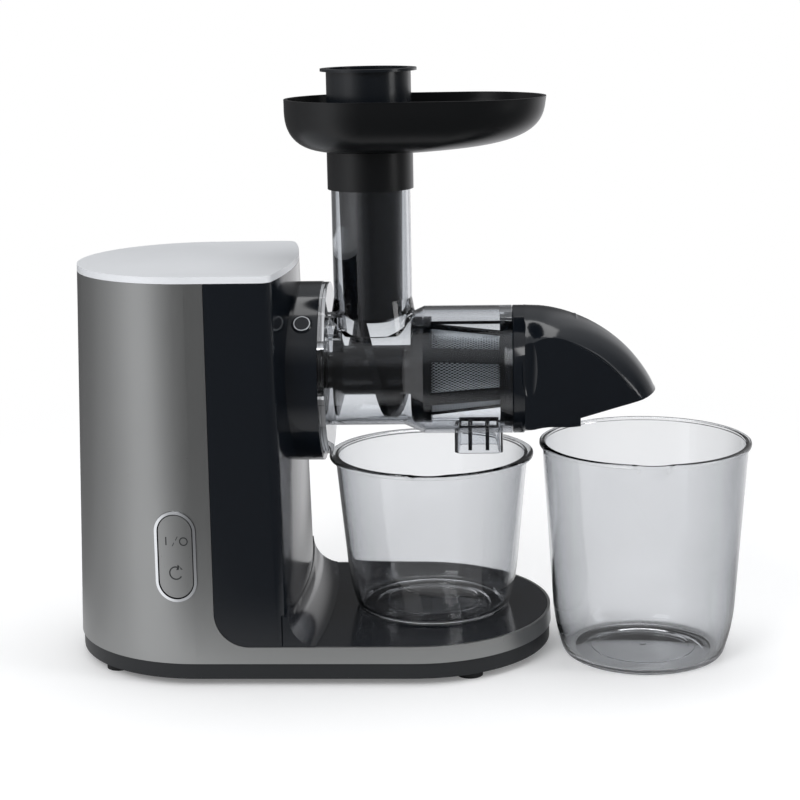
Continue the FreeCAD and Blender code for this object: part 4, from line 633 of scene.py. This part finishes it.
# %% Cutters
SCOOP_AT = (273.2, 38.2, 175.5)
SCOOP_SIZE = (5.5, 4.2, 21.5)           # half its length, depth and height
EDGE = [(301.95, 144.7), (341.0, 154.5), (353.0, 157.6), (353.0, 120.0), (301.95, 120.0)]
EDGE_HALF = 60.0                        # how far the edge's cutter reaches to each side


def scoop_cutter(side):
    mesh = bmesh.new()
    bmesh.ops.create_uvsphere(mesh, u_segments=64, v_segments=40, radius=1.0)
    middle = at(SCOOP_AT[0], side * SCOOP_AT[1], SCOOP_AT[2])
    for vert in mesh.verts:
        vert.co = middle + Vector([share_ * size * MM for share_, size in zip(vert.co, SCOOP_SIZE)])
    return linked("scoop_cutter", mesh)


def edge_cutter():
    mesh = bmesh.new()
    near = [mesh.verts.new(at(x, -EDGE_HALF, z)) for x, z in EDGE]
    far = [mesh.verts.new(at(x, EDGE_HALF, z)) for x, z in EDGE]
    mesh.faces.new(near)
    mesh.faces.new(list(reversed(far)))
    for i in range(len(EDGE)):
        k = (i + 1) % len(EDGE)
        mesh.faces.new([near[k], near[i], far[i], far[k]])
    return linked("edge_cutter", mesh)


cutters = [scoop_cutter(-1), scoop_cutter(1), edge_cutter()]
print("cutters:", [cutter.name for cutter in cutters])

# %% The cut cap
CAP_ROUNDING = 0.45
cap_piece = bpy.data.objects.new("end_cap_form", nodes["end_cap"].data.copy())
scene.collection.objects.link(cap_piece)
for cutter in cutters:
    bite = cap_piece.modifiers.new("bite", "BOOLEAN")
    bite.operation = "DIFFERENCE"
    bite.solver = "EXACT"
    bite.object = cutter
rounded(cap_piece, CAP_ROUNDING)
apply_all(cap_piece)
for cutter in cutters:
    bpy.data.objects.remove(cutter)
smooth(cap_piece.data)
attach(cap_piece, "cap")
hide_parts("end_cap")
print("the cap has", len(cap_piece.data.polygons), "faces")

# %% The hood's shoulders
SHOULDER = [        # x, distance from the middle, height, radius of the rounded shoulder
    (286.0, 32.5, 193.6, 0.15), (295.6, 31.7, 190.0, 0.55), (304.3, 30.0, 185.6, 0.85),
    (312.9, 28.6, 180.2, 1.05), (318.7, 27.5, 175.2, 1.10), (324.6, 26.5, 169.1, 1.05),
    (330.4, 25.5, 161.8, 0.85), (334.5, 24.4, 156.0, 0.50),
]
SINK = 0.35         # how far its middle lies inside the wall
SIDES = 14          # corners of its round section
SIDEWAYS = Vector((0, 1, 0))


def shoulder(side):
    mesh = bmesh.new()
    rings = []
    spots = [Vector((x, side * (y - SINK), z)) for x, y, z, radius in SHOULDER]
    for i, spot in enumerate(spots):
        radius = SHOULDER[i][3]
        along = (spots[min(i + 1, len(spots) - 1)] - spots[max(i - 1, 0)]).normalized()
        out_ = along.cross(SIDEWAYS).normalized()
        over = along.cross(out_)
        ring = []
        for k in range(SIDES):
            turn_ = 2 * math.pi * k / SIDES
            point = spot + (out_ * math.cos(turn_) + over * math.sin(turn_)) * radius
            ring.append(mesh.verts.new(at(*point)))
        rings.append(ring)
    for a, b in zip(rings, rings[1:]):
        for k in range(SIDES):
            after = (k + 1) % SIDES
            mesh.faces.new([a[k], a[after], b[after], b[k]])
    mesh.faces.new(rings[0])
    mesh.faces.new(list(reversed(rings[-1])))
    piece = linked("shoulder_front" if side < 0 else "shoulder_back", mesh)
    curve = piece.modifiers.new("fair", "SUBSURF")
    curve.levels = 2
    curve.render_levels = 2
    apply_all(piece)
    piece.data.polygons.foreach_set("use_smooth", [True] * len(piece.data.polygons))
    piece.data.materials.append(gloss_black)
    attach(piece, "cap")
    return piece


print("shoulders:", shoulder(-1).name, shoulder(1).name)

# %% [markdown]
# ## The filter mesh
# The strainer's wall is a steel sheet pierced with fine slanting holes. A transparent picture would do from
# afar, but a real one has thickness. We draw a cone of slanting cells and give its lines a width with the
# Wireframe modifier, which leaves open holes between them.

# %% Filter mesh
CELLS_ROUND, CELLS_LONG = 92, 26
WIRE_MM = 0.50
BIG_R, SMALL_R = 24.95, 20.55           # the cone's radii at its two ends
END_GAP = 0.004                         # share of its length left free at each end


def filter_mesh():
    low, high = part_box("strainer_mesh")
    mesh = bmesh.new()
    rows = []
    for i in range(CELLS_LONG + 1):
        share_ = i / CELLS_LONG
        radius = (BIG_R + (SMALL_R - BIG_R) * share_) * MM
        x = low.x + (high.x - low.x) * (END_GAP + (1 - 2 * END_GAP) * share_)
        row = []
        for j in range(CELLS_ROUND):
            angle = 2 * math.pi * (j + 0.5 * (i % 2)) / CELLS_ROUND
            spot = Vector((x, radius * math.cos(angle), AXIS_Z * MM + radius * math.sin(angle)))
            row.append(mesh.verts.new(spot))
        rows.append(row)
    for i in range(CELLS_LONG - 1):
        odd = i % 2
        for j in range(CELLS_ROUND):
            mesh.faces.new([rows[i][j], rows[i + 1][(j + odd) % CELLS_ROUND],
                            rows[i + 2][j], rows[i + 1][j - 1 + odd]])
    piece = linked("strainer_weave", mesh, outward=False)
    wires = piece.modifiers.new("wires", "WIREFRAME")
    wires.thickness = WIRE_MM * MM
    wires.use_even_offset = False
    return piece


weave = filter_mesh()
weave.data.materials.append(mesh_steel)
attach(weave, "drum")
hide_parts("strainer_mesh")
print("cells in the filter:", len(weave.data.polygons))

# %% [markdown]
# ## Marks on the switch and the button
# The rocker carries simple signs: a bar, a stroke and a ring for on and off above the dividing line, and a
# turned arrow for reverse below it. They are thin raised prints, drawn flat and then wrapped on the wall
# with a Shrinkwrap modifier, so that they follow its lean and curve. The button's face is flat, so its light
# ring is simply drawn in place.


# %% Flat bands
def ribbon(points, width, closed):
    """The two edges of a flat band of that width along points in a plane."""
    left, right_ = [], []
    count = len(points)
    for i, (x, y) in enumerate(points):
        before = points[i - 1] if i or closed else points[i]
        after = points[(i + 1) % count] if i < count - 1 or closed else points[i]
        dx, dy = after[0] - before[0], after[1] - before[1]
        size = math.hypot(dx, dy)
        nx, ny = -dy / size * width / 2, dx / size * width / 2
        left.append((x + nx, y + ny))
        right_.append((x - nx, y - ny))
    return left, right_


def arc_points(cx, cy, radius, start, end, steps=24):
    """Points on an arc between two angles in degrees."""
    turns = [math.radians(start + (end - start) * i / steps) for i in range(steps + 1)]
    return [(cx + radius * math.cos(turn), cy + radius * math.sin(turn)) for turn in turns]


SWITCH_X, SWITCH_Z = 71.2, 77.0         # the rocker's middle
FACE_Y = -81.5
TURN_ARC = arc_points(0.0, -9.5, 3.6, 60, 330)
SIGNS = [               # points from the rocker's middle, width of the line, closed or not
    ([(-5.2, 6.6), (-5.2, 11.4)], 0.75, False),
    ([(-1.6, 6.2), (1.6, 11.8)], 0.45, False),
    (arc_points(5.0, 9.0, 2.2, 0, 360)[:-1], 0.7, True),
    ([(-8.2, 0.0), (8.2, 0.0)], 0.45, False),
    (TURN_ARC, 0.75, False),
]
ARROW = [(-0.6, 1.9), (2.2, -0.9), (-1.5, -1.4)]        # its corners, from the start of the arc
print("signs to print:", len(SIGNS), "bands and an arrow")


# %% The signs on the rocker
PRINT_TALL, PRINT_GAP = 0.12, 0.02


def on_switch(across, up_):
    """A place on the rocker's face, measured from its middle."""
    return at(SWITCH_X + across, FACE_Y, SWITCH_Z + up_)


def print_band(mesh, points, width, closed):
    left, right_ = ribbon(points, width, closed)
    a = [mesh.verts.new(on_switch(*p)) for p in left]
    b = [mesh.verts.new(on_switch(*p)) for p in right_]
    count = len(points)
    for i in range(count if closed else count - 1):
        k = (i + 1) % count
        mesh.faces.new([a[i], a[k], b[k], b[i]])


marks = bmesh.new()
for points, width, closed in SIGNS:
    print_band(marks, points, width, closed)
tip = TURN_ARC[0]
marks.faces.new([marks.verts.new(on_switch(tip[0] + x, tip[1] + y)) for x, y in ARROW])
signs = linked("switch_signs", marks)
signs.data.materials.append(dark_mark)
wrap = signs.modifiers.new("lies_on", "SHRINKWRAP")
wrap.target = nodes["switch_rocker"]
wrap.wrap_method = "PROJECT"
wrap.use_negative_direction = True
wrap.use_positive_direction = True
wrap.offset = PRINT_GAP * MM
plate = signs.modifiers.new("print", "SOLIDIFY")
plate.thickness = PRINT_TALL * MM
plate.offset = 1.0
apply_all(signs)
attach(signs, "rocker")
print("signs lie on", nodes["switch_rocker"].name)


# %% The ring on the release button
BUTTON_X, BUTTON_REACH, BUTTON_ANGLE = 143.0, 53.7, math.radians(41.5)
RING_RADIUS, RING_WIDE, RING_THICK = 4.5, 0.55, 0.10
RING_STEPS = 64


def flat_ring(name, centre, normal):
    """A thin raised ring that lies on a flat face."""
    side_a = normal.orthogonal().normalized()
    side_b = normal.cross(side_a)
    inner, outer = RING_RADIUS - RING_WIDE / 2, RING_RADIUS + RING_WIDE / 2
    section = [(inner, 0.0), (outer, 0.0), (outer, RING_THICK), (inner, RING_THICK)]
    mesh = bmesh.new()
    columns = []
    for i in range(RING_STEPS):
        turn_ = 2 * math.pi * i / RING_STEPS
        way = side_a * math.cos(turn_) + side_b * math.sin(turn_)
        columns.append([mesh.verts.new(centre + (way * r + normal * h) * MM) for r, h in section])
    for i, column in enumerate(columns):
        after = columns[(i + 1) % RING_STEPS]
        for j in range(len(section)):
            k = (j + 1) % len(section)
            mesh.faces.new([column[j], after[j], after[k], column[k]])
    return linked(name, mesh)


button_out = Vector((0.0, -math.cos(BUTTON_ANGLE), math.sin(BUTTON_ANGLE)))
button_face = at(BUTTON_X, 0.0, AXIS_Z) + button_out * BUTTON_REACH * MM
ring_mark = flat_ring("button_ring", button_face, button_out)
ring_mark.data.materials.append(light_mark)
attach(ring_mark, "button")
print("ring on the button at", tuple(round(v, 4) for v in button_face))
